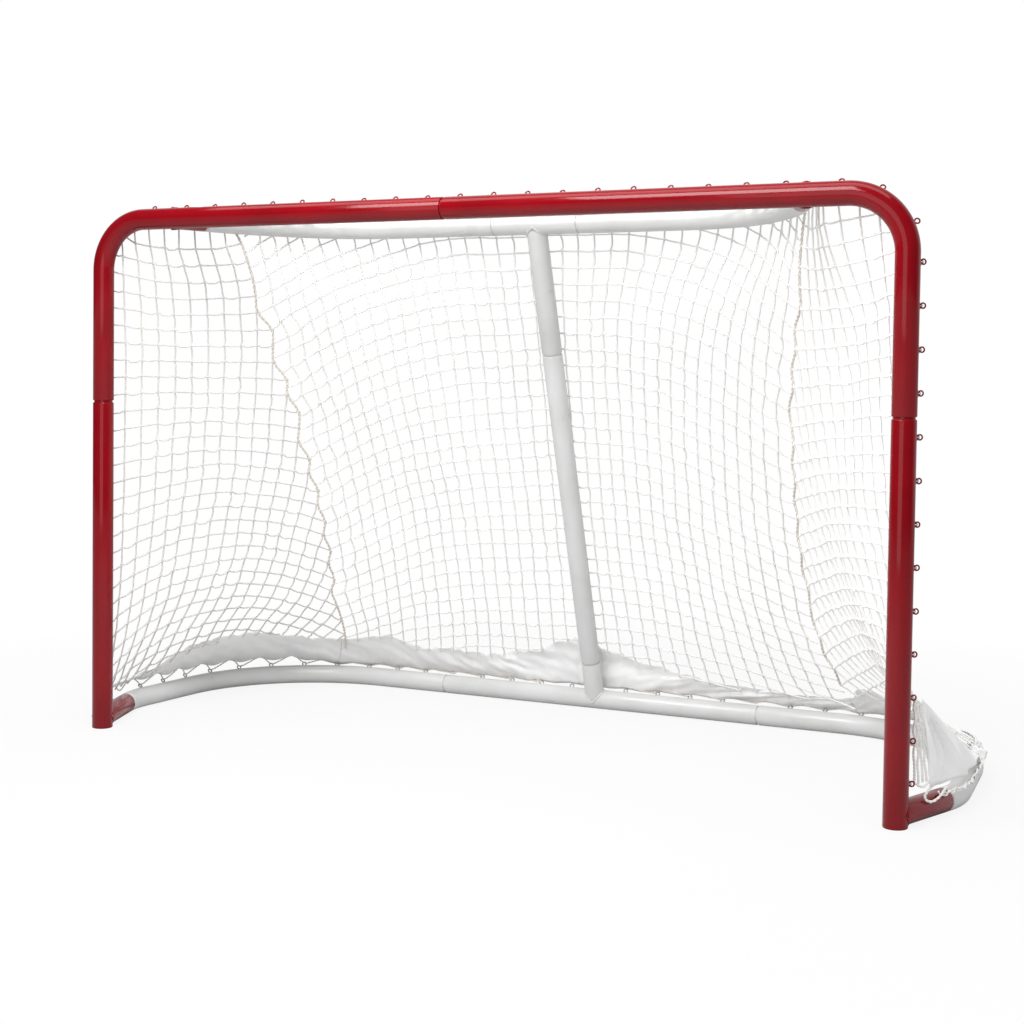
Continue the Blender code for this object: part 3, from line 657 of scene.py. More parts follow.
def front_frame():
    half = (BAR_HOOKS - 1) / 2
    bar_hooks = [BAR_HOOK_MIDDLE_X + (index - half) * BAR_HOOK_PITCH for index in range(BAR_HOOKS)]
    bar_hooks += [side * BAR_END_HOOK_X for side in (LEFT, RIGHT)]
    heights = post_hook_heights()
    for side in (LEFT, RIGHT):
        bm = bmesh.new()
        start = at(side * POST_X, 0, POST_JOINT_HEIGHT)
        pipe, spent = start_pipe(bm, start, UP, FORWARDS, "open")
        pipe.grow(BAR_Z - CORNER_RADIUS - POST_JOINT_HEIGHT - spent)
        pipe.bend(CORNER_RADIUS, side * 90, FORWARDS)
        pipe.end(abs(pipe.point.x - CROSSBAR_JOINT_X), REAR_ENDS[side])
        stub(bm, at(side * TOP_START_X, 0, BAR_Z), ACROSS, outwards(side, -TOP_DRAW_IN), TOP_STUB, UP)
        add_hooks(bm, [post_hook(side, height) for height in heights if height > POST_JOINT_HEIGHT])
        add_hooks(bm, [corner_hook(side, turn) for turn in (-CORNER_HOOK_TURN, CORNER_HOOK_TURN)])
        add_hooks(bm, [bar_hook(x) for x in bar_hooks if (x - CROSSBAR_JOINT_X) * side > 0])
        finished(bm, "corner_tube_" + NAMES[side], [RED], "corner_" + NAMES[side])

        bm = bmesh.new()
        straight_pipe(bm, at(side * POST_X, 0, 0), UP, FORWARDS, POST_JOINT_HEIGHT, ("foot", "spigot"))
        stub(bm, at(side * POST_X, 0, TUBE_R), UP, outwards(side, BASE_FLARE), BASE_STUB, UP)
        add_hooks(bm, [post_hook(side, height) for height in heights if height < POST_JOINT_HEIGHT])
        add_hooks(bm, [base_hook(side, STUB_HOOK)])
        finished(bm, "post_tube_" + NAMES[side], [RED], "post_" + NAMES[side])


def bent_bar(bm, full, first, joint_x, end):
    """A bar that follows a course from its stub's end to a joint in the back run."""
    start, heading = full.at(first)
    pipe, spent = start_pipe(bm, start, heading, UP, "spigot")
    pipe.grow(full.moves[0].length - first - spent)
    for move in full.moves[1:-1]:
        if move.radius:
            pipe.bend(move.radius, move.degrees, UP)
        else:
            pipe.grow(move.length)
    pipe.end(abs(pipe.point.x) - joint_x, end)


def base_bars():
    joint = BASE[RIGHT].length - BASE_JOINT_X
    for side in (LEFT, RIGHT):
        bm = bmesh.new()
        bent_bar(bm, BASE[side], BASE_STUB, BASE_JOINT_X, REAR_ENDS[side])
        places = base_hook_places(BASE_STUB + HOOK_CLEAR, joint - HOOK_CLEAR / 2)
        add_hooks(bm, [base_hook(side, place) for place in places], slot=1)
        finished(bm, "base_bar_" + NAMES[side], [WHITE, ZINC], "base_" + NAMES[side])
    bm = bmesh.new()
    start = at(-BASE_JOINT_X, BASE_DEPTH, TUBE_R)
    straight_pipe(bm, start, ACROSS, UP, 2 * BASE_JOINT_X, ("spigot", "open"))
    stub(bm, BACK_FOOT, ACROSS, LEAN, BASE_TEE, ACROSS)
    for side in (LEFT, RIGHT):
        places = base_hook_places(joint + HOOK_CLEAR / 2, BASE[side].length - TUBE_R - HOOK_CLEAR / 2)
        add_hooks(bm, [base_hook(side, place) for place in places], slot=1)
    finished(bm, "base_bar_centre", [WHITE, ZINC], "base_centre")


def top_bars():
    for side in (LEFT, RIGHT):
        bm = bmesh.new()
        bent_bar(bm, TOP[side], TOP_STUB, TOP_JOINT_X, REAR_ENDS[side])
        finished(bm, "top_tube_" + NAMES[side], [WHITE], "top_bar_" + NAMES[side])
    bm = bmesh.new()
    start = at(-TOP_JOINT_X, TOP_DEPTH, BAR_Z)
    straight_pipe(bm, start, ACROSS, UP, 2 * TOP_JOINT_X, ("spigot", "open"))
    stub(bm, BACK_HEAD, ACROSS, -LEAN, TOP_TEE, ACROSS)
    finished(bm, "top_tube_centre", [WHITE], "top_bar_centre")


def back_post():
    bm = bmesh.new()
    length = (BACK_HEAD - BACK_FOOT).length - BASE_TEE - TOP_TEE
    straight_pipe(bm, BACK_FOOT + LEAN * BASE_TEE, LEAN, ACROSS, length, ("spigot", "spigot"))
    finished(bm, "back_post", [WHITE], "centre_post")


def beside_base(side, distance, out=NET_FOOT_OUT, height=NET_FOOT):
    point, heading = BASE[side].at(distance)
    spot = point + outward(heading, side) * out
    return Vector((spot.x, spot.y, height))


def over_top_bar(side, distance, wrap=NET_WRAP):
    point, heading = TOP[side].at(distance)
    angle = radians(wrap)
    return point + (outward(heading, side) * cos(angle) + UP * sin(angle)) * NET_REACH


class Line:
    """Points joined up, read at a share of the whole length; past its ends it runs on straight."""

    def __init__(self, points):
        self.points = points
        self.marks = [0.0]
        for first, second in zip(points, points[1:]):
            self.marks.append(self.marks[-1] + (second - first).length)
        self.length = self.marks[-1]

    def at(self, share):
        place = share * self.length
        index = min(max(bisect.bisect_right(self.marks, place), 1), len(self.points) - 1)
        step = max(1e-9, self.marks[index] - self.marks[index - 1])
        return self.points[index - 1].lerp(self.points[index], (place - self.marks[index - 1]) / step)


def spaced(first, last, steps):
    return [first + (last - first) * step / steps for step in range(steps + 1)]


BEND_X = POST_X - CORNER_RADIUS
BEND_Z = BAR_Z - CORNER_RADIUS
BEND_REACH = POST_EDGE_X - BEND_X
EDGE_TOP = BEND_Z + BEND_REACH


def post_edge(side, height):
    """The net's front edge behind a post, from the ground up and round the bend to the crossbar."""
    above = max(0.0, height - BEND_Z)
    return at(side * (BEND_X + sqrt(max(0.0, BEND_REACH ** 2 - above ** 2))), POST_EDGE_Y, height)


def bend_edge(x):
    """The net's front edge at a distance from the middle, behind the crossbar and its bends."""
    past = max(0.0, abs(x) - BEND_X)
    return at(x, POST_EDGE_Y, BEND_Z + sqrt(max(0.0, BEND_REACH ** 2 - past ** 2)))


def beyond_bend(spot):
    over, up = abs(spot.x) - BEND_X, spot.z - BEND_Z
    return over > 0 and up > 0 and hypot(over, up) > BEND_REACH - MESH * 0.35


def seam_sag(side, height):
    depth, fullness = SEAM_SAG[side]
    wave = swell(min(max(height, 0.0), 1.0) ** SEAM_SAG_LOW)
    return Vector((-side, -0.6, 0)).normalized() * depth * max(wave, 0.0) ** fullness


class Panel:
    """A net's surface: straight between its uprights, and flared out to the bars below and above."""

    def __init__(self, foot, head, uprights):
        self.foot = foot
        self.head = head
        self.uprights = uprights

    def upright(self, share, seam, height):
        sag = seam_sag(seam, height) if seam else Vector()
        return self.foot.at(share).lerp(self.head.at(share), height) + sag

    def at(self, share, height):
        pairs = list(zip(self.uprights, self.uprights[1:]))
        (first, seam_a), (last, seam_b) = pairs[0] if share <= pairs[0][1][0] else pairs[-1]
        part = (share - first) / (last - first)
        taut = self.upright(first, seam_a, height).lerp(self.upright(last, seam_b, height), part)
        flare = self.foot.at(share) - self.foot.at(first).lerp(self.foot.at(last), part)
        draw = self.head.at(share) - self.head.at(first).lerp(self.head.at(last), part)
        rise = (self.head.at(share) - self.foot.at(share)).length
        near_foot = exp(-max(height, 0.0) * rise / NET_FLARE)
        near_head = 1 / (1 + (max(1 - height, 0.0) * rise / NET_DRAW) ** 3)
        wave = drift(share * 3.0, height * 3.0, first * 7)
        billow = self.outward_at(share) * NET_BILLOW * wave
        inner = swell(min(max(part, 0), 1)) * swell(min(max(height, 0), 1))
        return taut + flare * near_foot + draw * near_head + billow * inner

    def outward_at(self, share):
        along = self.foot.at(share + 0.02) - self.foot.at(share - 0.02)
        out = along.cross(UP).normalized()
        return out if out.y >= 0 or abs(out.x) > 0.5 and out.x * self.foot.at(share).x > 0 else -out


def side_panel(side):
    foot = [post_edge(side, NET_FOOT)]
    foot += [beside_base(side, distance) for distance in spaced(0.05, SEAM_FOOT[side], 24)]
    head = [at(side * POST_EDGE_X, POST_EDGE_Y, EDGE_TOP)]
    head += [at(side * 0.775, POST_EDGE_Y + 0.002, EDGE_TOP + 0.002)]
    head += [over_top_bar(side, distance) for distance in spaced(NET_START, SEAM_HEAD[side], 8)]
    return Panel(Line(foot), Line(head), [(0.0, None), (1.0, side)])


def back_panel():
    foot, head = [], []
    for side in (LEFT, RIGHT):
        below = spaced(SEAM_FOOT[side], BASE[side].length, 24)
        above = spaced(SEAM_HEAD[side], TOP[side].length, 24)
        if side == RIGHT:
            below, above = below[-2::-1], above[-2::-1]
        foot += [beside_base(side, distance) for distance in below]
        head += [over_top_bar(side, distance) for distance in above]
    foot, head = Line(foot), Line(head)
    return Panel(foot, head, [(0.0, LEFT), (0.5, None), (1.0, RIGHT)])


def skirt_height(side, distance):
    """How far the cloth reaches up the net at a distance along the base."""
    edge = SKIRT_EDGES[side]
    for (start, low), (end, high) in zip(edge, edge[1:]):
        if distance <= end:
            share = max(0.0, (distance - start) / (end - start))
            return low + (high - low) * share * share * (3 - 2 * share)
    return edge[-1][1]


def slack(first, second, lean, way, seed):
    """Two points between two knots; the shorter the way between them, the more the cord gives."""
    gap = (second - first).length
    spare = max(0.0, MESH * 1.01 - gap)
    give = min(0.0030, 0.40 * sqrt(spare * gap)) + 0.0006
    push = (way * lean + noise.noise_vector(seed) * 1.1) * give
    twist = noise.noise_vector(seed * 1.7 + UP) * 0.0008
    return [first.lerp(second, 0.32) + push + twist, first.lerp(second, 0.68) + push - twist]


def knot_shift(spot):
    return noise.noise_vector(spot * 8.0) * JITTER + noise.noise_vector(spot * 33.0) * JITTER * 0.6


class Cords:
    """A mesh of many thin cords; thick gives the share of the cord's radius at each point."""

    def __init__(self, name, material, record_slot, radius=TWINE_R):
        self.curve = bpy.data.curves.new(name, "CURVE")
        self.curve.dimensions = "3D"
        self.curve.bevel_depth = radius
        self.curve.bevel_resolution = 1
        self.curve.use_fill_caps = True
        self.curve.materials.append(material)
        self.name = name
        self.material = material
        self.record_slot = record_slot

    def cord(self, points, thick=None):
        if len(points) < 2:
            return
        spline = self.curve.splines.new("POLY")
        spline.points.add(len(points) - 1)
        for index, spot in enumerate(points):
            spline.points[index].co = (*spot, 1)
            spline.points[index].radius = thick[index] if thick else 1.0

    def strand(self, knots, way, seed):
        """A cord through knots, with a small lump at each."""
        points, thick = [], []
        for index, knot in enumerate(knots):
            if index:
                before = knots[index - 1]
                lean = Vector((seed * 3.1, index * 1.7, 0.5))
                points += slack(before, knot, 0.8, way, lean)
                thick += [1.0, 1.0]
                along = (knot - before).normalized()
                points += [knot - along * KNOT_R]
                thick += [1.0]
            points.append(knot)
            thick.append(KNOT_SWELL if 0 < index < len(knots) - 1 else 1.2)
            if index < len(knots) - 1:
                points.append(knot + (knots[index + 1] - knot).normalized() * KNOT_R)
                thick.append(1.0)
        self.cord(points, thick)

    def twist(self, points, turns_per_metre, swing, plies=2):
        """Cords wound round each other along a line of points."""
        for ply in range(plies):
            self.cord(wound(points, turns_per_metre, swing, pi * ply))

    def piece(self, node=None):
        drawn = in_scene(self.name, self.curve)
        graph = bpy.context.evaluated_depsgraph_get()
        mesh = bpy.data.meshes.new_from_object(drawn.evaluated_get(graph))
        bpy.data.objects.remove(drawn)
        bm = bmesh.new()
        bm.from_mesh(mesh)
        finished(bm, self.name, [self.material], node, smooth=80.0)


SIDE_PANELS = {side: side_panel(side) for side in (LEFT, RIGHT)}


def row_height(side, row, share):
    """Height of a row of the side net, as a share of the panel's; lower rows arch more."""
    (post, post_pitch), (seam, seam_pitch), (arch, more, most) = SIDE_ROWS[side]
    height = (post - post_pitch * row) * (1 - share) + (seam - seam_pitch * row) * share
    return min(0.985, height + 4 * share * (1 - share) * (arch + more * row + most * row * row))


def side_knots(side):
    """Rows of knots from the post to the seam, in steps of a whole mesh."""
    panel = SIDE_PANELS[side]
    rows = []
    for row in range(-1, SIDE_ROW_COUNT):
        heights = [row_height(side, row, share) for share in spaced(0, 1, 28)]
        if max(heights) < 0.02:
            continue
        shares = zip(spaced(0, 1, 28), heights)
        line = Line([panel.at(share, max(0.0, height)) for share, height in shares])
        knots = {0: post_edge(side, line.points[0].z)} if heights[0] > 0 else {}
        for column in range(1, round(line.length / MESH) + 1):
            share = column * MESH / line.length
            spot = line.at(share)
            if not beyond_bend(spot) and row_height(side, row, min(share, 1.0)) > 0:
                knots[column] = spot + knot_shift(spot)
        rows.append(knots)
    return rows


SIDE_KNOTS = {side: side_knots(side) for side in (LEFT, RIGHT)}
SEAMS = {side: [knots[max(knots)] for knots in SIDE_KNOTS[side]] for side in (LEFT, RIGHT)}


def seam_at(side, height):
    """The stepped seam at a height above the ground."""
    seam = SEAMS[side]
    for upper, lower in zip(seam, seam[1:]):
        if height >= lower.z:
            part = (upper.z - height) / max(1e-6, upper.z - lower.z)
            return upper.lerp(lower, max(0.0, part))
    return seam[-1].copy()


def above_cloth(points, low):
    """The part of a falling cord above a height, where the cloth is sewn to it."""
    kept = []
    for before, spot in zip([None] + points, points):
        if spot.z >= low:
            kept.append(spot)
        elif kept:
            part = (before.z - low) / max(1e-6, (before.z - low) - (spot.z - low))
            return kept + [before.lerp(spot, part)]
    return kept


def side_net(side):
    rows = SIDE_KNOTS[side]
    cords = Cords("net_panel_" + NAMES[side], LIT_AND_SHADED_TWINES[side], "net_twine")
    foot, head = SIDE_PANELS[side].foot, SIDE_PANELS[side].head

    def cloth(column):
        distance = min(column * MESH / foot.length, 1.0) * SEAM_FOOT[side]
        tucked = SEWN_IN
        if side == RIGHT and distance < CLOTH_FRONT:
            tucked += CLOTH_TUCK * swell(distance / CLOTH_FRONT)
        return NET_FOOT + skirt_height(side, distance) - tucked

    for index, knots in enumerate(rows):
        run, before = [], None
        for column in sorted(knots):
            spot, clear = knots[column], knots[column].z - cloth(column)
            if before and (before[1] < 0) != (clear < 0):
                run.append(before[0].lerp(spot, before[1] / (before[1] - clear)))
                if clear < 0:
                    cords.strand(run, -UP, index + 50 * side)
                    run = []
            if clear >= 0:
                run.append(spot)
            before = (spot, clear)
        cords.strand(run, -UP, index + 50 * side)
    for column in range(1, max(max(knots) for knots in rows) + 1):
        fall = [knots[column] for knots in rows if column in knots]
        if abs(fall[0].x) > BEND_X and fall[0].z > BEND_Z - MESH:
            fall.insert(0, bend_edge(fall[0].x))
        elif column in rows[0]:
            fall.insert(0, head.at(min(1.0, column * MESH / head.length)))
        fall.append(foot.at(min(1.0, column * MESH / foot.length)))
        cords.strand(above_cloth(fall, cloth(column)), Vector((0.2, 0.3, -0.2)), column + 80 * side)
    cords.piece("net_" + NAMES[side])


def back_knots(panel, columns):
    """Knots of the back panel by row and column; the rows hang lower beside the seams."""
    knots = {}
    for column in range(columns + 1):
        share = column / columns
        side = LEFT if share < 0.5 else RIGHT
        near = min(column, columns - column)
        fall = Line([panel.at(share, height) for height in spaced(1.0, 0.0, 60)])
        drop = SEAM_DROP * max(0.0, 1 - near / SEAM_DROP_COLUMNS) ** 1.7
        row = ceil(-drop / MESH)
        while row * MESH + drop < fall.length:
            spot = fall.at((row * MESH + drop) / fall.length)
            if near < 4:
                height = (spot.z - NET_FOOT) / (BAR_Z - NET_FOOT)
                edge = seam_at(side, spot.z) - panel.upright(round(share), side, height)
                spot = spot + Vector((edge.x, edge.y, 0)) * (1 - near / 4)
            knots[row, column] = spot + knot_shift(spot) if near else spot
            row += 1
    return knots


def back_net():
    panel = back_panel()
    columns = round(panel.foot.length / MESH)
    knots = back_knots(panel, columns)
    cords = Cords("net_panel_back", LIT_AND_SHADED_TWINES[0], "net_twine")

    def cloth(column):
        side = LEFT if column < columns / 2 else RIGHT
        share = 2 * min(column, columns - column) / columns
        distance = SEAM_FOOT[side] + (BASE[side].length - SEAM_FOOT[side]) * share
        return NET_FOOT + skirt_height(side, distance) - SEWN_IN

    rows = sorted({row for row, _ in knots})
    for row in rows:
        run = []
        for column in range(columns + 1):
            spot = knots.get((row, column))
            if spot and spot.z >= cloth(column):
                run.append(spot)
                continue
            cords.strand(run, -UP, row)
            run = []
        cords.strand(run, -UP, row)
    for column in range(1, columns):
        share = column / columns
        fall = [panel.head.at(share)] + [knots[row, column] for row in rows if (row, column) in knots]
        fall.append(panel.foot.at(share))
        cords.strand(above_cloth(fall, cloth(column)), Vector((0.4, 0.1, -0.1)), column + 200)
    cords.piece("net_back")


def top_net():
    """Mesh over the top, from behind the crossbar to the top bar."""
    cords = Cords("net_panel_top", LIT_AND_SHADED_TWINES[0], "net_twine")
    half = round(TOP_START_X / MESH)
    columns = range(-half, half + 1)
    front = at(0, POST_EDGE_Y + 0.003, 0).y
    places = spaced(NET_START, TOP[RIGHT].length, 60)
    bars = [over_top_bar(RIGHT, distance, TOP_WRAP) for distance in places]
    rear = max(bar.y for bar in bars)
    rows = range(int((rear - front) / MESH) + 1)

    def height(y):
        share = (y - front) / (rear - front)
        dip = TOP_DIP * swell(share)
        return EDGE_TOP + TOP_LIFT + (bars[-1].z - EDGE_TOP - TOP_LIFT) * share ** 0.5 - dip

    def width(y):
        return max([bar.x for bar in bars if bar.y >= y] or [0.0])

    grid = {}
    for column in columns:
        for row in rows:
            x, y = column * MESH, front + row * MESH
            if abs(x) <= width(y):
                spot = Vector((x, y, height(y)))
                grid[column, row] = spot + knot_shift(spot) * (0.8 if row else 0.0)
    for row in rows:
        cords.strand([grid[column, row] for column in columns if (column, row) in grid], -UP, row + 300)
    for column in columns:
        line = [grid[column, row] for row in rows if (column, row) in grid]
        edge = next((bar for bar in bars if bar.x <= abs(column * MESH)), bars[-1])
        if line:
            line.append(Vector((column * MESH, max(edge.y, line[-1].y + 0.002), edge.z)))
            cords.strand(line, -UP, column + 400)
    edge = [Vector((-bar.x, bar.y, bar.z)) for bar in bars] + bars[::-1]
    cords.cord(edge, [1.5] * len(edge))
    cords.piece("net_top")


def wound(points, turns_per_metre, swing, phase):
    """A cord wound round a line of points."""
    line = Line(points)
    count = int(line.length / CORD_STEP)
    wire = []
    for index in range(count + 1):
        share = index / count
        spot = line.at(share)
        along = (line.at(share + 0.002) - line.at(share - 0.002)).normalized()
        across = along.cross(Vector((0.3, 0.9, 0.2))).normalized()
        angle = tau * turns_per_metre * share * line.length + phase
        wire.append(spot + (across * cos(angle) + along.cross(across) * sin(angle)) * swing)
    return wire


def seam_cords(side):
    """Two thicker cords wound round each other through both panels' edge meshes."""
    cords = Cords("seam_lacing_" + NAMES[side], SEAM_TWINE, "seam_twine", SEAM_CORD_R)
    head = over_top_bar(side, SEAM_HEAD[side])
    points = [head] + [spot for spot in SEAMS[side] if spot.z > SEAM_FOOT_Z]
    cords.twist(smoothed(points, 1), 42.0, SEAM_CORD_R * 0.85)
    cords.piece("seam_cord_" + NAMES[side])


def smoothed(points, rounds=2):
    """Points of a softer line: each corner is cut, once or more."""
    for _ in range(rounds):
        soft = [points[0]]
        for first, second in zip(points, points[1:]):
            soft.append(first.lerp(second, 0.25))
            soft.append(first.lerp(second, 0.75))
        points = soft + [points[-1]]
    return points


BACK_PANEL = back_panel()


def net_at(side, distance, height):
    if distance < SEAM_FOOT[side]:
        return SIDE_PANELS[side].at(distance / SEAM_FOOT[side], height)
    part = (distance - SEAM_FOOT[side]) / (BASE[side].length - SEAM_FOOT[side]) / 2
    return BACK_PANEL.at(part if side == LEFT else 1 - part, height)


def front_cloth(distance, share):
    """The right skirt's front: stretched from a hook of the post down to the bend of the base."""
    part = (distance - SKIRT_START[RIGHT]) / (CLOTH_FRONT - SKIRT_START[RIGHT])
    foot = beside_base(RIGHT, distance, NET_FOOT_OUT + 0.004, NET_FOOT + 0.006)
    apex = at(*CLOTH_APEX)
    top = apex.lerp(skirt_point(RIGHT, CLOTH_FRONT + 1e-6, 1.0), part)
    spot = foot.lerp(top, share)
    reach = (spot - apex).length
    turn = atan2((spot - apex).z, Vector((spot.x - apex.x, spot.y - apex.y, 0)).length)
    fold = sin(turn * 24 + reach * 9) * 0.0050
    fold += drift(turn * 6, reach * 9, 2.0) * 0.016
    fold *= swell(min(1.0, share * 0.8 + 0.2))
    billow = 0.012 * swell(share) * swell(min(1, part + 0.1))
    fade = min(1.0, (1 - part) * 5) * min(1.0, reach / 0.06)
    return spot + outward(BASE[RIGHT].at(distance)[1], RIGHT) * (fold * fade + billow * fade)


def skirt_point(side, distance, share):
    """A point on the cloth, share of the way up it."""
    if side == RIGHT and distance < CLOTH_FRONT:
        return front_cloth(distance, share)
    reach = skirt_height(side, distance)
    ragged = 0.006 * drift(distance * 30, side * 5.0, 1.0)
    ragged += 0.003 * drift(distance * 90, side * 5.0, 4.0)
    height = max(0.0, (reach + ragged * min(1.0, reach / 0.05)) * share / 1.2)
    out = outward(BASE[side].at(distance)[1], side)
    spot = net_at(side, distance, height)
    hook_phase = (distance - BASE_HOOK_FIRST) / BASE_HOOK_PITCH
    loose = min(1.0, max(0.0, (0.86 - distance) / 0.10)) if side == LEFT else 0.0
    scallop = (0.003 + 0.006 * loose) * swell(hook_phase) ** 2 * (1 - share) ** 3
    seed = Vector((distance * 7 + share * 1.6, side * 3.0 + share * 0.8, 0.0))
    wrinkle = noise.noise(seed) * 0.010 + noise.noise(seed * 2.7) * 0.005
    creases = abs(drift(distance * 16 + share * 2.2, side, share * 1.5)) * -0.012
    gather = 0.0010 * sin(tau * distance / 0.0287 + share * 4.0) * (1 - share) ** 2
    depth = SKIRT_CLEAR + 0.010 + wrinkle + creases * min(1.0, share * 3) + gather
    low = (-0.003 - 0.011 * (1 - loose)) * (1 - share) ** 2
    if side == RIGHT:
        depth *= 0.3 + 0.7 * min(1.0, (distance - CLOTH_FRONT) / 0.15)
    return spot + UP * (scallop + low) + out * max(SKIRT_CLEAR, depth)


def skirt_sheet(name, rows, node):
    bm = bmesh.new()
    bmesh.ops.create_grid(bm, x_segments=len(rows[0]) - 1, y_segments=len(rows) - 1, size=0.5)
    ordered = sorted(bm.verts, key=lambda vert: (round(vert.co.y, 5), round(vert.co.x, 5)))
    for vert, spot in zip(ordered, [spot for row in rows for spot in row]):
        vert.co = spot
    cloth = object_of(bm, name, [NYLON])
    cloth.data.shade_smooth()
    wall = cloth.modifiers.new("cloth", "SOLIDIFY")
    wall.thickness = CLOTH
    wall.offset = 0.0
    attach(cloth, "root")
    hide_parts(node)


def skirts():
    shares = spaced(0, 1, 16)
    for side in (LEFT, RIGHT):
        count = round((SEAM_FOOT[side] - SKIRT_START[side]) / SKIRT_STEP)
        places = spaced(SKIRT_START[side], SEAM_FOOT[side], count)
        rows = [[skirt_point(side, place, share) for place in places] for share in shares]
        skirt_sheet("skirt_cloth_" + NAMES[side], rows, "skirt_" + NAMES[side])
    route = []
    for side in (LEFT, RIGHT):
        length = BASE[side].length - SEAM_FOOT[side]
        places = spaced(SEAM_FOOT[side], BASE[side].length, round(length / SKIRT_STEP))
        route += [(side, place) for place in (places if side == LEFT else places[-2::-1])]
    rows = [[skirt_point(side, place, share) for side, place in route] for share in shares]
    skirt_sheet("skirt_cloth_back", rows, "skirt_back")


def base_lacing():
    """Cord that winds from hook to hook through the skirt's lower edge."""
    cords = Cords("base_lacing", SEAM_TWINE, "seam_twine", 0.0011)
    for side in (LEFT, RIGHT):
        places = base_hook_places(0.0 if side == LEFT else CLOTH_FRONT, BASE[side].length)
        points = []
        for first, second in zip(places, places[1:]):
            point, along, out = base_hook(side, first)
            points.append(point + out * EYE + along * 0.002)
            for part, lift in ((0.22, 0.7), (0.36, 1.0), (0.5, 1.1), (0.64, 1.0), (0.78, 0.7)):
                place = first + (second - first) * part
                point, _, out = base_hook(side, place)
                spot = (point + out * EYE).lerp(skirt_point(side, place, 0.05), lift)
                points.append(spot + noise.noise_vector(spot * 25.0) * 0.002)
        cords.twist(smoothed(points), 60.0, 0.0010)
    cords.piece()


def foot_lacing():
    """At the right foot: net gathered in narrow meshes, a loose loop and cord round the hooks."""
    # These cords take the right net's lighter twine, whose tone is painted light
    cords = Cords("foot_lacing", LIT_AND_SHADED_TWINES[RIGHT], "net_twine", 0.0018)
    strands, steps = 5, 8
    for strand in range(strands):
        apart = strand / (strands - 1)
        high = at(0.963 + 0.010 * apart, 0.030 + 0.014 * apart, 0.243 - 0.010 * apart)
        low = at(0.966 + 0.022 * apart, 0.034 + 0.044 * apart, 0.078)
        points = []
        for step, part in enumerate(spaced(0.0, 1.0, steps)):
            swing = 0.0026 * (-1) ** (strand + step) * swell(min(1.0, part + 0.15))
            spot = high.lerp(low, part) + ACROSS * swing
            points.append(spot + noise.noise_vector(Vector((strand * 2.1, step * 1.3, 0.0))) * 0.002)
        cords.twist(smoothed(points), 70.0, 0.0012)
    cords.twist(smoothed([at(*spot) for spot in FOOT_LOOP]), 55.0, 0.0012)
    for turn in range(2):
        lashing = []
        for step, place in enumerate(spaced(STUB_HOOK - 0.004, CLOTH_FRONT + 0.04, 30)):
            point, _, out = base_hook(RIGHT, place)
            swing = (0.006, -0.004, 0.003, -0.007)[(step + turn * 2) % 4]
            spot = point + out * (TUBE_R + 0.011 + 0.003 * sin(step * 1.9 + turn)) + UP * swing
            lashing.append(spot + noise.noise_vector(spot * 40.0 + UP * turn * 9) * 0.005)
        cords.twist(smoothed(lashing), 40.0, 0.0012, plies=1)
    cords.piece()


def post_lacing():
    """Short ties from each hook of the posts to the net's front edge."""
    cords = Cords("post_lacing", LIT_AND_SHADED_TWINES[0], "net_twine", 0.0014)
    for side in (LEFT, RIGHT):
        for height in post_hook_heights():
            point, _, out = post_hook(side, height)
            eye = point + out * EYE
            below, above = post_edge(side, height - 0.013), post_edge(side, height + 0.011)
            cords.cord(smoothed([below, below.lerp(eye, 0.6), eye, above.lerp(eye, 0.5), above]))
        edge = [post_edge(side, height) for height in spaced(NET_FOOT, EDGE_TOP, 160)]
        cords.twist(edge, 50.0, 0.0013)
    cords.piece()


def softbox(name, place, target, size, watts):
    lamp = bpy.data.lights.new(name, "AREA")
    lamp.shape = "RECTANGLE"
    lamp.size, lamp.size_y = size
    lamp.energy = watts
    box = in_scene(name, lamp)
    box.location = at(*place)
    box.rotation_euler = (at(*target) - box.location).to_track_quat("-Z", "Y").to_euler()


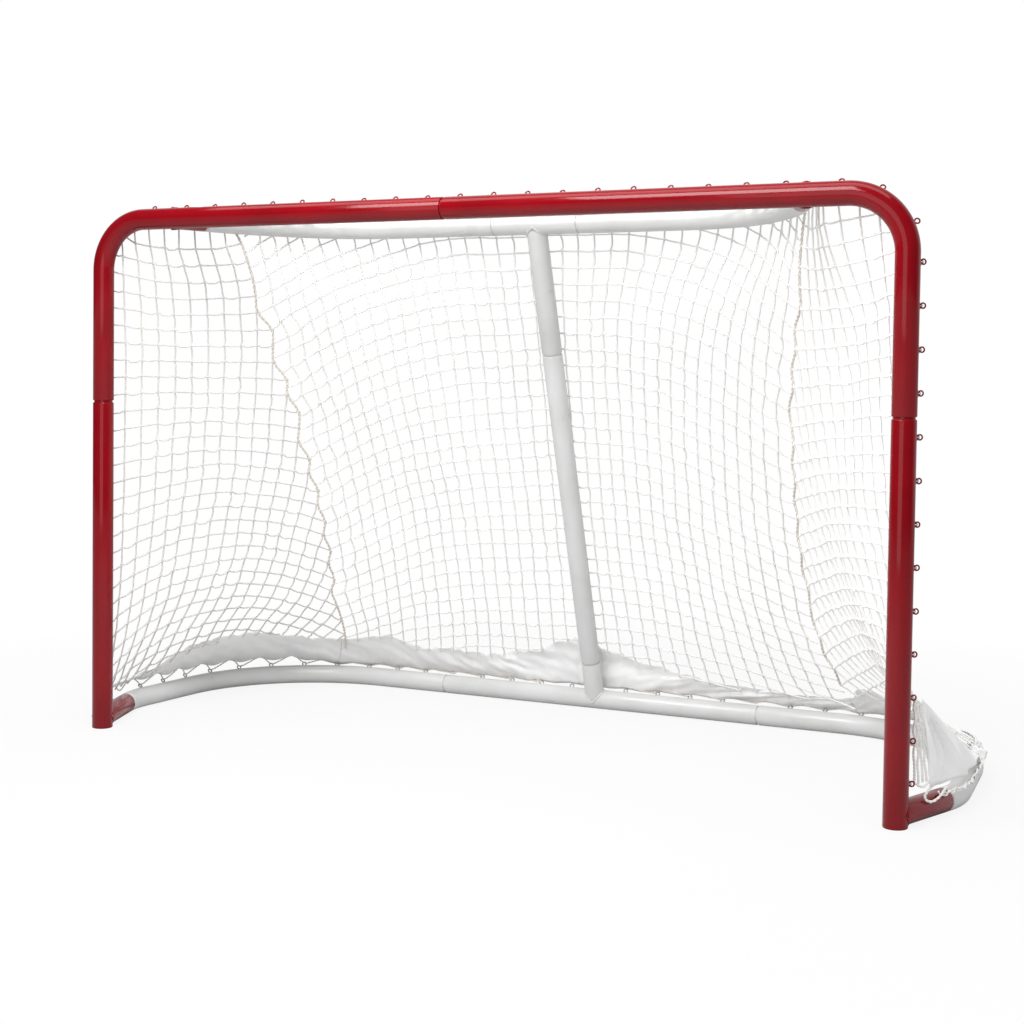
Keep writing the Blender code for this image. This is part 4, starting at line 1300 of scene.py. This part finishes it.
def studio():
    """White all round to the eye and to matt surfaces; paint reflects a dim room behind the camera."""
    world = bpy.data.worlds.new("studio")
    bpy.context.scene.world = world
    nodes = Nodes(world)
    coords = nodes.add("TexCoord").outputs["Object"]
    depth = nodes.add("SeparateXYZ", {"Vector": coords}).outputs["Y"]
    back_to_front = nodes.add("MapRange", {"Value": depth, "From Min": -1.0}).outputs["Result"]
    room = nodes.ramp(back_to_front, (0.55, (0.05, 0.05, 0.052)), (0.86, (0.80, 0.80, 0.81)))
    rays = nodes.add("LightPath").outputs
    lit = nodes.mix(rays["Is Glossy Ray"], (0.88, 0.88, 0.89), room)
    shown = nodes.mix(rays["Is Camera Ray"], lit, (1.0, 1.0, 1.0))
    nodes.plug(shown, nodes.tree.nodes["Background"].inputs["Color"])
    softbox("key", (0.0, -1.1, 2.15), (0, 0.35, 0.25), (1.3, 0.8), 38)
    softbox("overhead", (0, -0.2, 2.9), (0, 0.05, 0.9), (3.4, 1.0), 30)
    softbox("fill", (0.3, -3.2, 1.3), (0, 0.2, 0.5), (2.2, 2.0), 20)


def floor():
    """Pale ground: its soft shadow fades out into the white some way from the goal."""
    material = bpy.data.materials.new("floor")
    nodes = Nodes(material)
    shader = nodes.tree.nodes["Principled BSDF"]
    nodes.plug((0.55, 0.55, 0.55), shader.inputs["Base Color"])
    nodes.plug(0.9, shader.inputs["Roughness"])
    coords = nodes.add("TexCoord").outputs["Object"]
    reach = nodes.add("VectorMath", {0: coords}, operation="LENGTH").outputs["Value"]
    limits = {"Value": reach, "From Min": 0.9, "From Max": 2.2, "To Min": 0.86, "To Max": 1.0}
    fade = nodes.add("MapRange", limits).outputs["Result"]
    seen = nodes.add("LightPath").outputs["Is Camera Ray"]
    part = nodes.add("Math", {0: seen, 1: fade}, operation="MULTIPLY").outputs["Value"]
    glow = nodes.add("Emission", {"Color": (1.0, 1.0, 1.0)}).outputs["Emission"]
    mix = nodes.add("MixShader", {"Fac": part, 1: shader.outputs["BSDF"], 2: glow}).outputs["Shader"]
    nodes.plug(mix, nodes.tree.nodes["Material Output"].inputs["Surface"])
    bm = bmesh.new()
    bmesh.ops.create_grid(bm, x_segments=2, y_segments=2, size=30.0)
    ground = object_of(bm, "floor", [material])


set_camera()
front_frame()
base_bars()
top_bars()
back_post()
for side in (LEFT, RIGHT):
    side_net(side)
    seam_cords(side)
back_net()
top_net()
skirts()
base_lacing()
foot_lacing()
post_lacing()
studio()
floor()

bpy.context.scene.view_settings.view_transform = "Standard"
